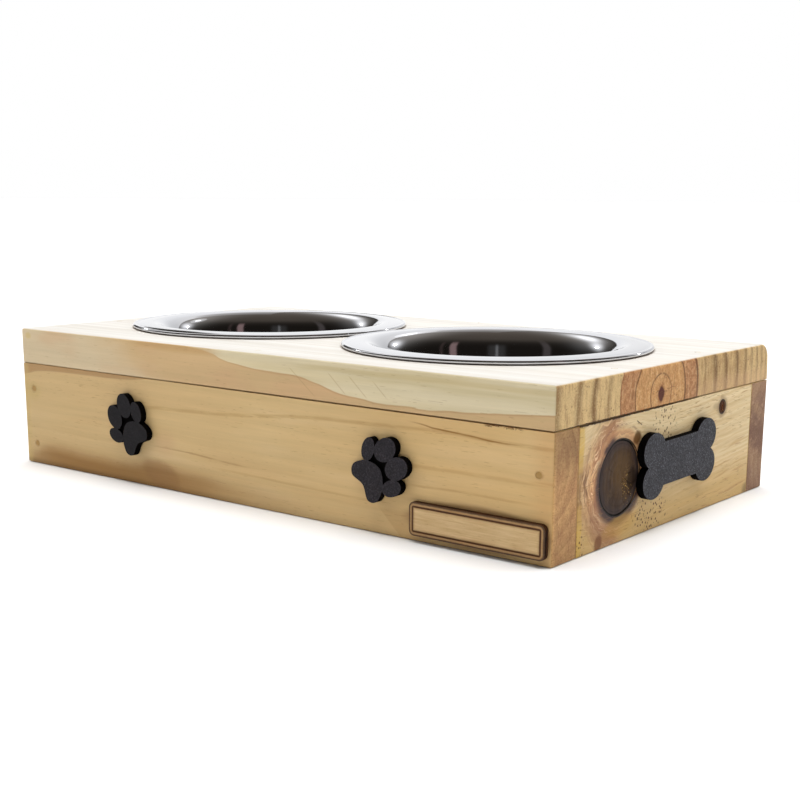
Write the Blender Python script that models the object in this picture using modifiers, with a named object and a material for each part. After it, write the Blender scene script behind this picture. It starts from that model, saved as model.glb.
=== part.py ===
"""A raised twin feeder for a small dog or a cat.

A low, open-bottomed pine stand carries two pressed steel bowls in round
cut-outs.  Two paw badges and a blank name plaque are glued to the front, and a
bone badge to the right-hand end.  +X runs along the length, -Y is the front
and +Z is up.  Every part hangs from one empty that centres the whole feeder,
badges included, on the origin, with the floor at Z = 0.  Units are metres.
"""

import math

import bmesh
import bpy
from mathutils import Matrix

# --- driving dimensions ---------------------------------------------------

# Stand, over the wood
LENGTH = 0.3922
WIDTH = 0.2288
TOP_THICKNESS = 0.0212
BOX_HEIGHT = 0.0637          # floor to the underside of the top board
FRONT_THICKNESS = 0.0215
REAR_THICKNESS = 0.0187
END_THICKNESS = 0.0200
TOP_ROUNDING = 0.0018        # sanded upper edge of the top board
FIT = 0.0003                 # air between two parts that meet

# Cut-outs for the bowls
CUTOUT_RADIUS = 0.0738
CUTOUT_X = 0.0897
CUTOUT_Y = -0.0013
ROUND_STEPS = 48

# Bowls: radii, and heights above the top board
BOWL_RIM_RADIUS = 0.0870     # over the rolled edge
BEAD_RADIUS = 0.0011
CREST_RADIUS = 0.0750        # where the flange turns over into the bowl
CREST_HEIGHT = 0.0030
SHOULDER_WIDTH = 0.0105
SHOULDER_DROP = 0.0130
WALL_LEAN = 9.5              # degrees off upright
BOWL_DEPTH = 0.0520          # top board down to the middle of the bowl's floor
FLOOR_FILLET = 0.0090
SHEET = 0.0008
BOWL_LIFT_CLEARANCE = 0.0003
LEFT_BOWL_XY = (-0.0922, 0.0010)
RIGHT_BOWL_XY = (0.0868, -0.0030)

# Badges, cut from 4 mm board
BADGE_THICKNESS = 0.0040
BADGE_PROUD = BADGE_THICKNESS + FIT
LEFT_PAW_XZ = (-0.0880, 0.0285)
LEFT_PAW_TURN = 41.0         # degrees, anticlockwise as seen
RIGHT_PAW_XZ = (0.0900, 0.0280)
RIGHT_PAW_TURN = -50.0
BONE_YZ = (0.0025, 0.0349)
BONE_TURN = 0.4

# Name plaque, cut from 3 mm ply
PLAQUE_LENGTH = 0.0790
PLAQUE_HEIGHT = 0.0172
PLAQUE_THICKNESS = 0.0030
PLAQUE_CORNER = 0.0030
PLAQUE_XZ = (0.1548, 0.0120)

# Brads
BRAD_LENGTH = 0.0420
BRAD_SHANK = 0.0008
BRAD_HEAD = 0.0014
BRAD_HEAD_THICKNESS = 0.0010
BRAD_TIP = 0.0025
BRAD_SET = 0.0010            # driven this far below the surface
BRAD_STEPS = 12
CORNER_BRADS_XZ = {
    "left_upper": (-0.1870, 0.0476),
    "left_lower": (-0.1863, 0.0129),
    "right_upper": (0.1880, 0.0427),
    "right_lower": (0.1880, 0.0129),
}
TOP_BRADS_XY = {
    "left_front": (-0.1860, -0.0450),
    "left_rear": (-0.1860, 0.0450),
    "right_front": (0.1860, -0.0450),
    "right_rear": (0.1860, 0.0450),
    "front_middle": (0.0000, -0.1040),
    "rear_middle": (0.0000, 0.1045),
}

TOP_OF_WOOD = BOX_HEIGHT + TOP_THICKNESS
BOARD_HEIGHT = BOX_HEIGHT - FIT


# --- scene ----------------------------------------------------------------

for old in list(bpy.data.objects):
    bpy.data.objects.remove(old, do_unlink=True)

parts = bpy.data.collections.new("pet_feeder")
bpy.context.scene.collection.children.link(parts)
cutters = bpy.data.collections.new("cutters")
bpy.context.scene.collection.children.link(cutters)
cutters.hide_render = True

centre = bpy.data.objects.new("feeder_centre", None)
centre.location = (-BADGE_PROUD / 2, BADGE_PROUD / 2, 0)
parts.objects.link(centre)


def material(name, colour, roughness, metallic=0.0):
    made = bpy.data.materials.new(name)
    made.use_nodes = True
    shader = made.node_tree.nodes["Principled BSDF"]
    shader.inputs["Base Color"].default_value = (*colour, 1)
    shader.inputs["Roughness"].default_value = roughness
    shader.inputs["Metallic"].default_value = metallic
    made.diffuse_color = (*colour, 1)
    return made


def new_part(name, mesh, look, location=(0, 0, 0), turn=(0, 0, 0)):
    part = bpy.data.objects.new(name, mesh)
    part.location = location
    part.rotation_euler = turn
    part.parent = centre
    if look is not None:
        mesh.materials.clear()
        mesh.materials.append(look)
    parts.objects.link(part)
    return part


def new_cutter(name, mesh, location=(0, 0, 0), turn=(0, 0, 0)):
    cutter = bpy.data.objects.new(name, mesh)
    cutter.location = location
    cutter.rotation_euler = turn
    cutter.parent = centre
    cutter.hide_render = True
    cutter.display_type = "WIRE"
    cutters.objects.link(cutter)
    return cutter


def boolean(part, other, operation="DIFFERENCE"):
    cut = part.modifiers.new(other.name, "BOOLEAN")
    cut.operation = operation
    cut.solver = "EXACT"
    cut.object = other


def mesh_from(bm, name):
    mesh = bpy.data.meshes.new(name)
    bm.to_mesh(mesh)
    bm.free()
    return mesh


# --- boards ---------------------------------------------------------------


def board_mesh(name, length, depth, height, rounding=0.0):
    """A board about its own middle, its upper edges rounded if asked."""
    bm = bmesh.new()
    bmesh.ops.create_cube(bm, size=1.0)
    bmesh.ops.scale(bm, vec=(length, depth, height), verts=bm.verts)
    if rounding:
        upper = [e for e in bm.edges if all(v.co.z > 0 for v in e.verts)]
        bmesh.ops.bevel(
            bm,
            geom=upper,
            offset=rounding,
            segments=2,
            profile=0.5,
            affect="EDGES",
        )
    return mesh_from(bm, name)


pale_pine = material("pale_pine", (0.72, 0.58, 0.40), 0.55)
honey_pine = material("honey_pine", (0.60, 0.42, 0.22), 0.55)
knotty_pine = material("knotty_pine", (0.62, 0.45, 0.25), 0.55)

top_board = new_part(
    "top_board",
    board_mesh("top_board", LENGTH, WIDTH, TOP_THICKNESS, TOP_ROUNDING),
    pale_pine,
    (0, 0, BOX_HEIGHT + TOP_THICKNESS / 2),
)
front_board = new_part(
    "front_board",
    board_mesh("front_board", LENGTH, FRONT_THICKNESS, BOARD_HEIGHT),
    honey_pine,
    (0, -(WIDTH - FRONT_THICKNESS) / 2, BOARD_HEIGHT / 2),
)
rear_board = new_part(
    "rear_board",
    board_mesh("rear_board", LENGTH, REAR_THICKNESS, BOARD_HEIGHT),
    honey_pine,
    (0, (WIDTH - REAR_THICKNESS) / 2, BOARD_HEIGHT / 2),
)
end_depth = WIDTH - FRONT_THICKNESS - REAR_THICKNESS - 2 * FIT
end_y = (FRONT_THICKNESS - REAR_THICKNESS) / 2
end_boards = {}
for side, sign in (("left", -1), ("right", 1)):
    name = side + "_end_board"
    end_boards[side] = new_part(
        name,
        board_mesh(name, END_THICKNESS, end_depth, BOARD_HEIGHT),
        knotty_pine,
        (sign * (LENGTH - END_THICKNESS) / 2, end_y, BOARD_HEIGHT / 2),
    )

for side, sign in (("left", -1), ("right", 1)):
    bm = bmesh.new()
    bmesh.ops.create_cone(
        bm,
        cap_ends=True,
        segments=ROUND_STEPS,
        radius1=CUTOUT_RADIUS,
        radius2=CUTOUT_RADIUS,
        depth=2 * TOP_THICKNESS,
    )
    hole = new_cutter(
        side + "_cutout",
        mesh_from(bm, side + "_cutout"),
        (sign * CUTOUT_X, CUTOUT_Y, BOX_HEIGHT + TOP_THICKNESS / 2),
    )
    boolean(top_board, hole)


# --- turned shapes --------------------------------------------------------


def turned_mesh(name, profile):
    """The half-section of a turned part, as edges in the XZ plane."""
    mesh = bpy.data.meshes.new(name)
    points = [(r, 0, z) for r, z in profile]
    mesh.from_pydata(points, [(i, i + 1) for i in range(len(points) - 1)], [])
    return mesh


def turn_about_z(part, steps):
    screw = part.modifiers.new("turned", "SCREW")
    screw.axis = "Z"
    screw.steps = steps
    screw.render_steps = steps
    screw.use_merge_vertices = True
    screw.merge_threshold = 0.00001
    screw.use_smooth_shade = True


# --- bowls ----------------------------------------------------------------


def arc(cx, cz, rx, rz, start, stop, segments):
    """Points on an ellipse arc, ends included; angles in degrees."""
    points = []
    for i in range(segments + 1):
        a = math.radians(start + (stop - start) * i / segments)
        points.append((cx + rx * math.cos(a), cz + rz * math.sin(a)))
    return points


def bowl_middle_line():
    """The sheet's middle line, from the axis out to the rolled edge."""
    floor_z = -BOWL_DEPTH
    lean = math.radians(WALL_LEAN)
    # The shoulder is an ellipse arc that begins where it leans as the wall does.
    shoulder = arc(
        CREST_RADIUS,
        CREST_HEIGHT - SHEET / 2 - SHOULDER_DROP,
        SHOULDER_WIDTH,
        SHOULDER_DROP,
        180 - math.degrees(math.atan(SHOULDER_DROP / SHOULDER_WIDTH * math.tan(lean))),
        90,
        5,
    )
    # The fillet's centre, so that the wall is tangent to it as well.
    fillet_z = floor_z + FLOOR_FILLET
    top_r, top_z = shoulder[0]
    rise = top_z - (fillet_z - FLOOR_FILLET * math.sin(lean))
    fillet_r = top_r - rise * math.tan(lean) - FLOOR_FILLET * math.cos(lean)
    line = [(0.0, floor_z)]
    line += arc(
        fillet_r,
        fillet_z,
        FLOOR_FILLET,
        FLOOR_FILLET,
        -90,
        -WALL_LEAN,
        3,
    )
    line += shoulder
    bead_top = BOWL_LIFT_CLEARANCE + 2 * BEAD_RADIUS
    line.append((BOWL_RIM_RADIUS - 2 * BEAD_RADIUS, bead_top - SHEET / 2))
    return line


def offset_line(line, by):
    """The line moved sideways, to its left as it runs."""
    moved = []
    for i, (r, z) in enumerate(line):
        r0, z0 = line[max(i - 1, 0)]
        r1, z1 = line[min(i + 1, len(line) - 1)]
        run = math.hypot(r1 - r0, z1 - z0)
        moved.append((r - by * (z1 - z0) / run, z + by * (r1 - r0) / run))
    moved[0] = (0.0, line[0][1] + by)
    return moved


def bowl_profile():
    line = bowl_middle_line()
    inside = offset_line(line, SHEET / 2)
    outside = offset_line(line, -SHEET / 2)
    bead = arc(
        BOWL_RIM_RADIUS - BEAD_RADIUS,
        BOWL_LIFT_CLEARANCE + BEAD_RADIUS,
        BEAD_RADIUS,
        BEAD_RADIUS,
        90,
        -205,
        8,
    )
    return inside + bead + outside[::-1]


steel = material("polished_steel", (0.62, 0.62, 0.64), 0.18, 1.0)
for side, (x, y) in (("left", LEFT_BOWL_XY), ("right", RIGHT_BOWL_XY)):
    name = side + "_bowl"
    bowl = new_part(
        name, turned_mesh(name, bowl_profile()), steel, (x, y, TOP_OF_WOOD)
    )
    turn_about_z(bowl, ROUND_STEPS)


# --- badges ---------------------------------------------------------------

black_paint = material("black_paint", (0.035, 0.035, 0.040), 0.75)


def outline_mesh(name, points, thickness):
    """A closed smooth outline in the XY plane, filled, from Z = 0 to thickness."""
    curve = bpy.data.curves.new(name, "CURVE")
    curve.dimensions = "2D"
    curve.fill_mode = "BOTH"
    curve.extrude = thickness / 2
    curve.resolution_u = 6
    spline = curve.splines.new("BEZIER")
    spline.bezier_points.add(len(points) - 1)
    for knot, (x, y) in zip(spline.bezier_points, points):
        knot.co = (x, y, 0)
        knot.handle_left_type = knot.handle_right_type = "AUTO"
    spline.use_cyclic_u = True
    return curve_to_mesh(name, curve, thickness)


def curve_to_mesh(name, curve, thickness):
    """The filled curve as one welded mesh, standing on Z = 0."""
    holder = bpy.data.objects.new(name + "_outline", curve)
    bpy.context.scene.collection.objects.link(holder)
    bpy.context.view_layer.update()
    graph = bpy.context.evaluated_depsgraph_get()
    mesh = bpy.data.meshes.new_from_object(holder.evaluated_get(graph))
    mesh.name = name
    bm = bmesh.new()
    bm.from_mesh(mesh)
    bmesh.ops.remove_doubles(bm, verts=bm.verts, dist=0.00001)
    bmesh.ops.translate(bm, verts=bm.verts, vec=(0, 0, thickness / 2))
    bmesh.ops.recalc_face_normals(bm, faces=bm.faces)
    bm.to_mesh(mesh)
    bm.free()
    bpy.data.objects.remove(holder, do_unlink=True)
    bpy.data.curves.remove(curve)
    return mesh


def oval_mesh(name, half_width, half_height, turn, x, y, thickness, segments=28):
    """An oval slab, Z = 0 to thickness, placed and turned in its own plane."""
    bm = bmesh.new()
    bmesh.ops.create_cone(
        bm, cap_ends=True, segments=segments, radius1=1.0, radius2=1.0, depth=thickness
    )
    bmesh.ops.scale(bm, vec=(half_width, half_height, 1.0), verts=bm.verts)
    bmesh.ops.rotate(
        bm, matrix=Matrix.Rotation(math.radians(turn), 3, "Z"), verts=bm.verts
    )
    bmesh.ops.translate(bm, vec=(x, y, thickness / 2), verts=bm.verts)
    return mesh_from(bm, name)


# Paw, pointing up, about the middle of its pad
PAD = [
    (0.0, 0.0099),
    (0.0082, 0.0054),
    (0.0117, -0.0026),
    (0.0079, -0.0071),
    (0.0, -0.0047),
    (-0.0079, -0.0071),
    (-0.0117, -0.0026),
    (-0.0082, 0.0054),
]
# x, y, half width, half height, lean to the left in degrees
TOES = {
    "outer_left": (-0.0121, 0.0099, 0.0040, 0.0063, 32.0),
    "inner_left": (-0.0057, 0.0187, 0.0058, 0.0074, -6.0),
    "inner_right": (0.0056, 0.0187, 0.0057, 0.0074, -15.0),
    "outer_right": (0.0116, 0.0098, 0.0042, 0.0063, -20.0),
}


def paw(name, xz, turn):
    placed = (xz[0], -WIDTH / 2 - FIT, xz[1])
    facing = (math.radians(90), math.radians(-turn), 0)
    badge = new_part(
        name, outline_mesh(name, PAD, BADGE_THICKNESS), black_paint, placed, facing
    )
    for toe, (x, y, half_width, half_height, lean) in TOES.items():
        label = name + "_" + toe
        mesh = oval_mesh(label, half_width, half_height, lean, x, y, BADGE_THICKNESS)
        boolean(badge, new_cutter(label, mesh, placed, facing), "UNION")
    return badge


paw("left_paw_badge", LEFT_PAW_XZ, LEFT_PAW_TURN)
paw("right_paw_badge", RIGHT_PAW_XZ, RIGHT_PAW_TURN)

# Bone, lying along X, about its middle
BONE_SHAFT_HALF_HEIGHT = 0.0114
BONE_KNUCKLE_X = 0.0287
BONE_KNUCKLE_Y = 0.00785
BONE_KNUCKLE_HALF_WIDTH = 0.0113
BONE_KNUCKLE_HALF_HEIGHT = 0.0092

placed = (LENGTH / 2 + FIT, BONE_YZ[0], BONE_YZ[1])
facing = (math.radians(90), math.radians(-BONE_TURN), math.radians(90))
bm = bmesh.new()
bmesh.ops.create_cube(bm, size=1.0)
bmesh.ops.scale(
    bm,
    vec=(2 * BONE_KNUCKLE_X, 2 * BONE_SHAFT_HALF_HEIGHT, BADGE_THICKNESS),
    verts=bm.verts,
)
bmesh.ops.translate(bm, vec=(0, 0, BADGE_THICKNESS / 2), verts=bm.verts)
bone = new_part(
    "bone_badge", mesh_from(bm, "bone_badge"), black_paint, placed, facing
)
for end, x in (("front", -BONE_KNUCKLE_X), ("rear", BONE_KNUCKLE_X)):
    for level, y in (("upper", BONE_KNUCKLE_Y), ("lower", -BONE_KNUCKLE_Y)):
        label = "bone_" + level + "_" + end
        mesh = oval_mesh(
            label,
            BONE_KNUCKLE_HALF_WIDTH,
            BONE_KNUCKLE_HALF_HEIGHT,
            0.0,
            x,
            y,
            BADGE_THICKNESS,
            segments=36,
        )
        boolean(bone, new_cutter(label, mesh, placed, facing), "UNION")

# Blank name plaque
scorched_ply = material("scorched_ply", (0.55, 0.40, 0.24), 0.7)
bm = bmesh.new()
bmesh.ops.create_cube(bm, size=1.0)
bmesh.ops.scale(
    bm, vec=(PLAQUE_LENGTH, PLAQUE_HEIGHT, PLAQUE_THICKNESS), verts=bm.verts
)
bmesh.ops.translate(bm, vec=(0, 0, PLAQUE_THICKNESS / 2), verts=bm.verts)
corners = [e for e in bm.edges if abs(e.verts[0].co.z - e.verts[1].co.z) > 0.001]
bmesh.ops.bevel(
    bm, geom=corners, offset=PLAQUE_CORNER, segments=5, profile=0.5, affect="EDGES"
)
new_part(
    "name_plaque",
    mesh_from(bm, "name_plaque"),
    scorched_ply,
    (PLAQUE_XZ[0], -WIDTH / 2 - FIT, PLAQUE_XZ[1]),
    (math.radians(90), 0, 0),
)


# --- brads ----------------------------------------------------------------

bright_steel = material("bright_steel", (0.55, 0.55, 0.56), 0.35, 1.0)


def brad_profile(room=0.0, above=0.0):
    """A brad hanging from Z = 0, grown by room all round and above its head."""
    return [
        (0.0, above),
        (BRAD_HEAD + room, above),
        (BRAD_HEAD + room, -BRAD_HEAD_THICKNESS - room),
        (BRAD_SHANK + room, -BRAD_HEAD_THICKNESS - room),
        (BRAD_SHANK + room, -(BRAD_LENGTH - BRAD_TIP) - room),
        (0.0, -BRAD_LENGTH - room),
    ]


def brad(name, location, turn, boards):
    """One brad and the hole it makes in each board it passes through."""
    nail = new_part(name, turned_mesh(name, brad_profile()), bright_steel, location, turn)
    turn_about_z(nail, BRAD_STEPS)
    hole = new_cutter(
        name + "_hole",
        turned_mesh(name + "_hole", brad_profile(FIT, BRAD_SET + 0.001)),
        location,
        turn,
    )
    turn_about_z(hole, BRAD_STEPS)
    for board in boards:
        boolean(board, hole)


for label, (x, z) in CORNER_BRADS_XZ.items():
    end = end_boards[label.split("_")[0]]
    brad(
        "front_brad_" + label,
        (x, -WIDTH / 2 + BRAD_SET, z),
        (math.radians(90), 0, 0),
        (front_board, end),
    )
    brad(
        "rear_brad_" + label,
        (x, WIDTH / 2 - BRAD_SET, z),
        (math.radians(-90), 0, 0),
        (rear_board, end),
    )

under_top = {
    "left": end_boards["left"],
    "right": end_boards["right"],
    "front": front_board,
    "rear": rear_board,
}
for label, (x, y) in TOP_BRADS_XY.items():
    brad(
        "top_brad_" + label,
        (x, y, TOP_OF_WOOD - BRAD_SET),
        (0, 0, 0),
        (top_board, under_top[label.split("_")[0]]),
    )

for part in parts.objects:
    if part.type == "MESH" and len(part.data.polygons):
        part.data.set_sharp_from_angle(angle=math.radians(30))
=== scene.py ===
"""Looks of the raised twin feeder.

Lengths in the helpers are millimetres about the middle of the wood, with the
floor at Z = 0: +X runs along the length, -Y is the front, +Z is up.
"""

import math

import bmesh
import bpy
from mathutils import Matrix, Vector, noise


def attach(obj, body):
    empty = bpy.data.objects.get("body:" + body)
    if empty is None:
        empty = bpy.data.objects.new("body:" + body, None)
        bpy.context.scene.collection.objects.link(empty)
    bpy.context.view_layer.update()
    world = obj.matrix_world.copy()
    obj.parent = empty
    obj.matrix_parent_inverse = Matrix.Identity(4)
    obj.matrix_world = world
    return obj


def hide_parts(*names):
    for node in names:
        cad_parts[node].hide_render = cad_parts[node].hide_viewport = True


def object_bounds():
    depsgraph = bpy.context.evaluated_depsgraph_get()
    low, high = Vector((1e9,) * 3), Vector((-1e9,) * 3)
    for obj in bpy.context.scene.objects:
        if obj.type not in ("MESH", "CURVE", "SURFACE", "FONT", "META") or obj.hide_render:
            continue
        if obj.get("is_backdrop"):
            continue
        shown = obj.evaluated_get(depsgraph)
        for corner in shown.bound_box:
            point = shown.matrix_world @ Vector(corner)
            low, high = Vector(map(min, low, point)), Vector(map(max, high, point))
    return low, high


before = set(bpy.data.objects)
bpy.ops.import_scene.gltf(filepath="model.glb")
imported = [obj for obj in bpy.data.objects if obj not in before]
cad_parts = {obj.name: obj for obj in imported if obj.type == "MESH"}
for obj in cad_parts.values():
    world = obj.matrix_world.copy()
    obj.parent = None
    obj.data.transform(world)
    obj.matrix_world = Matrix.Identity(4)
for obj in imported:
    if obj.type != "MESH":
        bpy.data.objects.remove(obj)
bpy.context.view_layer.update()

# --- sizes ------------------------------------------------------------------

MM = 0.001
# The frame is centred over wood and badges, the numbers below over the wood.
WOOD_CENTRE = Vector((-2.15, 2.15, 0.0)) * MM

LENGTH, WIDTH = 392.2, 228.8
BOX_TOP, TOP = 63.7, 84.9
FIT = 0.3
FRONT_DEPTH, REAR_DEPTH, END_DEPTH = 21.5, 18.7, 20.0
XR, YF, YR = LENGTH / 2, -WIDTH / 2, WIDTH / 2
BOARD_TOP = BOX_TOP - FIT
CUTOUT_RADIUS, CUTOUT_X, CUTOUT_Y = 73.8, 89.7, -1.3
BOWLS = {"left": (-92.2, 1.0), "right": (86.8, -3.0)}

CORNER_BRADS = {
    "left_upper": (-187.0, 47.6),
    "left_lower": (-186.3, 12.9),
    "right_upper": (188.0, 42.7),
    "right_lower": (188.0, 12.9),
}
TOP_BRADS = {
    "left_front": (-186.0, -45.0),
    "left_rear": (-186.0, 45.0),
    "right_front": (186.0, -45.0),
    "right_rear": (186.0, 45.0),
    "front_middle": (0.0, -104.0),
    "rear_middle": (0.0, 104.5),
}
# How far the sawn rear faces stand out past the plain box
REAR_PROUD, TOP_PROUD = 1.8, 1.5
LEFT_PROUD = 0.5
BIG_KNOT = (-53.6, 32.8)  # y, z on the right-hand end
BIG_KNOT_RADIUS = 19.6
SMALL_KNOT = (57.9, 54.6)

# --- meshes -----------------------------------------------------------------

scene = bpy.context.scene


def add_object(name, mesh):
    obj = bpy.data.objects.new(name, mesh)
    scene.collection.objects.link(obj)
    return obj


def mesh_of(bm, name):
    """The bmesh, drawn in millimetres, as a mesh in metres."""
    bmesh.ops.scale(bm, vec=(MM, MM, MM), verts=bm.verts)
    bmesh.ops.recalc_face_normals(bm, faces=bm.faces)
    mesh = bpy.data.meshes.new(name)
    bm.to_mesh(mesh)
    bm.free()
    return mesh


def baked_modifiers(obj):
    """The object's mesh with its modifiers applied."""
    bpy.context.view_layer.update()
    graph = bpy.context.evaluated_depsgraph_get()
    mesh = bpy.data.meshes.new_from_object(obj.evaluated_get(graph))
    old = obj.data
    obj.modifiers.clear()
    obj.data = mesh
    bpy.data.meshes.remove(old)
    return obj


def cut(obj, cutter_mesh):
    cutter = add_object("cutter", cutter_mesh)
    modifier = obj.modifiers.new("cut", "BOOLEAN")
    modifier.operation = "DIFFERENCE"
    modifier.solver = "EXACT"
    modifier.object = cutter
    baked_modifiers(obj)
    bpy.data.objects.remove(cutter, do_unlink=True)
    return obj


def join(obj, other_mesh):
    other = add_object("joined", other_mesh)
    modifier = obj.modifiers.new("join", "BOOLEAN")
    modifier.operation = "UNION"
    modifier.solver = "EXACT"
    modifier.object = other
    baked_modifiers(obj)
    bpy.data.objects.remove(other, do_unlink=True)
    return obj


def smooth_by_angle(mesh, degrees):
    mesh.shade_smooth()
    mesh.set_sharp_from_angle(angle=math.radians(degrees))


def place(obj, body, nodes, slot, *materials):
    """Puts a piece in the frame, on its body, in place of its CAD nodes."""
    obj.location = WOOD_CENTRE
    indices = [0] * len(obj.data.polygons)
    obj.data.polygons.foreach_get("material_index", indices)
    obj.data.materials.clear()
    for material in materials:
        obj.data.materials.append(material)
    obj.data.polygons.foreach_set(
        "material_index", [min(i, len(materials) - 1) for i in indices]
    )
    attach(obj, body)
    if nodes:
        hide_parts(*nodes)
    return obj


def weighted_normals(obj):
    modifier = obj.modifiers.new("weighted_normals", "WEIGHTED_NORMAL")
    modifier.keep_sharp = True
    modifier.weight = 60
    return obj


def lathe(bm, profile, steps, radius_at=None, axis=(0, 0, 1), origin=(0, 0, 0)):
    """A closed turned shape. profile is (r, z) from the axis, round and back to it."""
    rings = []
    for r, z in profile:
        if r <= 1e-9:
            rings.append([bm.verts.new((0, 0, z))])
            continue
        ring = []
        for k in range(steps):
            a = 2 * math.pi * k / steps
            s = radius_at(a, r, z) if radius_at else r
            ring.append(bm.verts.new((s * math.cos(a), s * math.sin(a), z)))
        rings.append(ring)
    for low, high in zip(rings[:-1], rings[1:]):
        for k in range(steps):
            j = (k + 1) % steps
            if len(low) == 1 and len(high) == 1:
                continue
            if len(low) == 1:
                bm.faces.new((low[0], high[k], high[j]))
            elif len(high) == 1:
                bm.faces.new((low[k], high[0], low[j]))
            else:
                bm.faces.new((low[k], high[k], high[j], low[j]))
    verts = [v for ring in rings for v in ring]
    turn = Vector((0, 0, 1)).rotation_difference(Vector(axis)).to_matrix()
    bmesh.ops.rotate(bm, matrix=turn, verts=verts)
    bmesh.ops.translate(bm, vec=origin, verts=verts)
    return verts


def grid_cuts(bm, spacing, low, high):
    """Cuts the mesh along planes, so that it can be moved a little."""
    for axis in range(3):
        step = spacing[axis]
        if not step:
            continue
        count = max(1, round((high[axis] - low[axis]) / step))
        for i in range(1, count):
            point = [0.0, 0.0, 0.0]
            point[axis] = low[axis] + (high[axis] - low[axis]) * i / count
            normal = [0.0, 0.0, 0.0]
            normal[axis] = 1.0
            bmesh.ops.bisect_plane(
                bm,
                geom=bm.verts[:] + bm.edges[:] + bm.faces[:],
                plane_co=point,
                plane_no=normal,
                dist=0.0001,
            )


def board(
    name, low, high, rounding, cutters=(), spacing=(14, 14, 14), wobble=0.16, seed=0.0, rear_round=0.0
):
    """A sawn and sanded board. rounding(side) is an edge's radius.

    rear_round is the radius of the rear upper edge, which the ends show as an arc.
    """
    bm = bmesh.new()
    bmesh.ops.create_cube(bm, size=1.0)
    size = [h - l for l, h in zip(low, high)]
    bmesh.ops.scale(bm, vec=size, verts=bm.verts)
    bmesh.ops.translate(
        bm, vec=[(l + h) / 2 for l, h in zip(low, high)], verts=bm.verts
    )
    if rear_round:
        rear_upper = [
            e for e in bm.edges
            if all(v.co.y > high[1] - 0.01 and v.co.z > high[2] - 0.01 for v in e.verts)
        ]
        bmesh.ops.bevel(
            bm, geom=rear_upper, offset=rear_round, offset_type="OFFSET", segments=8,
            profile=0.5, affect="EDGES",
        )
    layer = bm.edges.layers.float.new("bevel_weight_edge")
    radii = {}
    bm.edges.index_update()
    for edge in bm.edges:
        a, b = edge.verts
        middle = (a.co + b.co) / 2
        side = tuple(
            0 if abs(middle[i] - (low[i] + high[i]) / 2) < 0.01
            else (1 if middle[i] > (low[i] + high[i]) / 2 else -1)
            for i in range(3)
        )
        radii[edge.index] = rounding(side)
    widest = max(radii.values())
    for edge in bm.edges:
        edge[layer] = radii[edge.index] / widest
    obj = add_object(name, mesh_of(bm, name))
    bevel = obj.modifiers.new("rounding", "BEVEL")
    bevel.limit_method = "WEIGHT"
    bevel.width = widest * MM
    bevel.segments = 4
    bevel.profile = 0.5
    baked_modifiers(obj)
    for cutter in cutters:
        cut(obj, cutter)
    bm = bmesh.new()
    bm.from_mesh(obj.data)
    bmesh.ops.scale(bm, vec=(1 / MM,) * 3, verts=bm.verts)
    grid_cuts(bm, spacing, low, high)
    middle = Vector([(l + h) / 2 for l, h in zip(low, high)])
    for v in bm.verts:
        # Worn and sanded a little unevenly, always inwards
        p = v.co
        for i in range(3):
            if abs(size[i]) < 1e-6:
                continue
            reach = (p[i] - middle[i]) / (size[i] / 2)
            if abs(reach) > 0.93:
                amount = 0.5 + 0.5 * noise.noise(
                    Vector((p[0] * 0.021 + seed, p[1] * 0.027 + i * 7.3, p[2] * 0.043 + seed))
                )
                p[i] -= math.copysign(wobble * amount, reach)
    mesh = obj.data
    bmesh.ops.scale(bm, vec=(MM,) * 3, verts=bm.verts)
    bm.to_mesh(mesh)
    bm.free()
    smooth_by_angle(mesh, 38)
    return obj


def cylinder_cutter(name, radius, x, y, low, high, steps=160):
    bm = bmesh.new()
    lathe(bm, [(0, low), (radius, low), (radius, high), (0, high)], steps, origin=(x, y, 0))
    return mesh_of(bm, name)


def brad_holes(name, places):
    """Every hole that brads make in one board: (head, direction) pairs."""
    bm = bmesh.new()
    profile = [
        (0, 3.0), (1.75, 3.0), (1.75, -1.35), (1.12, -1.35), (1.12, -39.9), (0, -42.6),
    ]
    for head, direction in places:
        away = Vector(direction) * -1
        lathe(bm, profile, 16, axis=away, origin=Vector(head))
    return mesh_of(bm, name)


def chips(name, places, seed=0):
    """Small splinters missing from an edge: centre and half sizes, all ragged."""
    bm = bmesh.new()
    for n, (centre, half) in enumerate(places):
        made = bmesh.ops.create_icosphere(bm, subdivisions=2, radius=1.0)
        for v in made["verts"]:
            shake = 1 + 0.38 * noise.noise(v.co * 1.7 + Vector((n * 3.1 + seed, 0, 0)))
            v.co = Vector(centre) + Vector(
                (v.co.x * half[0], v.co.y * half[1], v.co.z * half[2])
            ) * shake
    return mesh_of(bm, name)


# --- materials --------------------------------------------------------------


def linear(*rgb):
    """A screen colour, 0 to 255, as linear values."""
    return tuple(
        c / 255 / 12.92 if c <= 10.3 else ((c / 255 + 0.055) / 1.055) ** 2.4
        for c in rgb
    ) + (1.0,)


class Num:
    """A number that differs over the surface, written with the usual signs."""

    def __init__(self, net, socket):
        self.net, self.socket = net, socket

    def _do(self, kind, *others):
        return self.net.math(kind, self, *others)

    def __add__(self, b):
        return self._do("ADD", b)

    __radd__ = __add__

    def __sub__(self, b):
        return self._do("SUBTRACT", b)

    def __rsub__(self, b):
        return self.net.math("SUBTRACT", b, self)

    def __mul__(self, b):
        return self._do("MULTIPLY", b)

    __rmul__ = __mul__

    def __truediv__(self, b):
        return self._do("DIVIDE", b)

    def __abs__(self):
        return self._do("ABSOLUTE")

    def least(self, b):
        return self._do("MINIMUM", b)

    def most(self, b):
        return self._do("MAXIMUM", b)

    def root(self):
        return self._do("SQRT")


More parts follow.
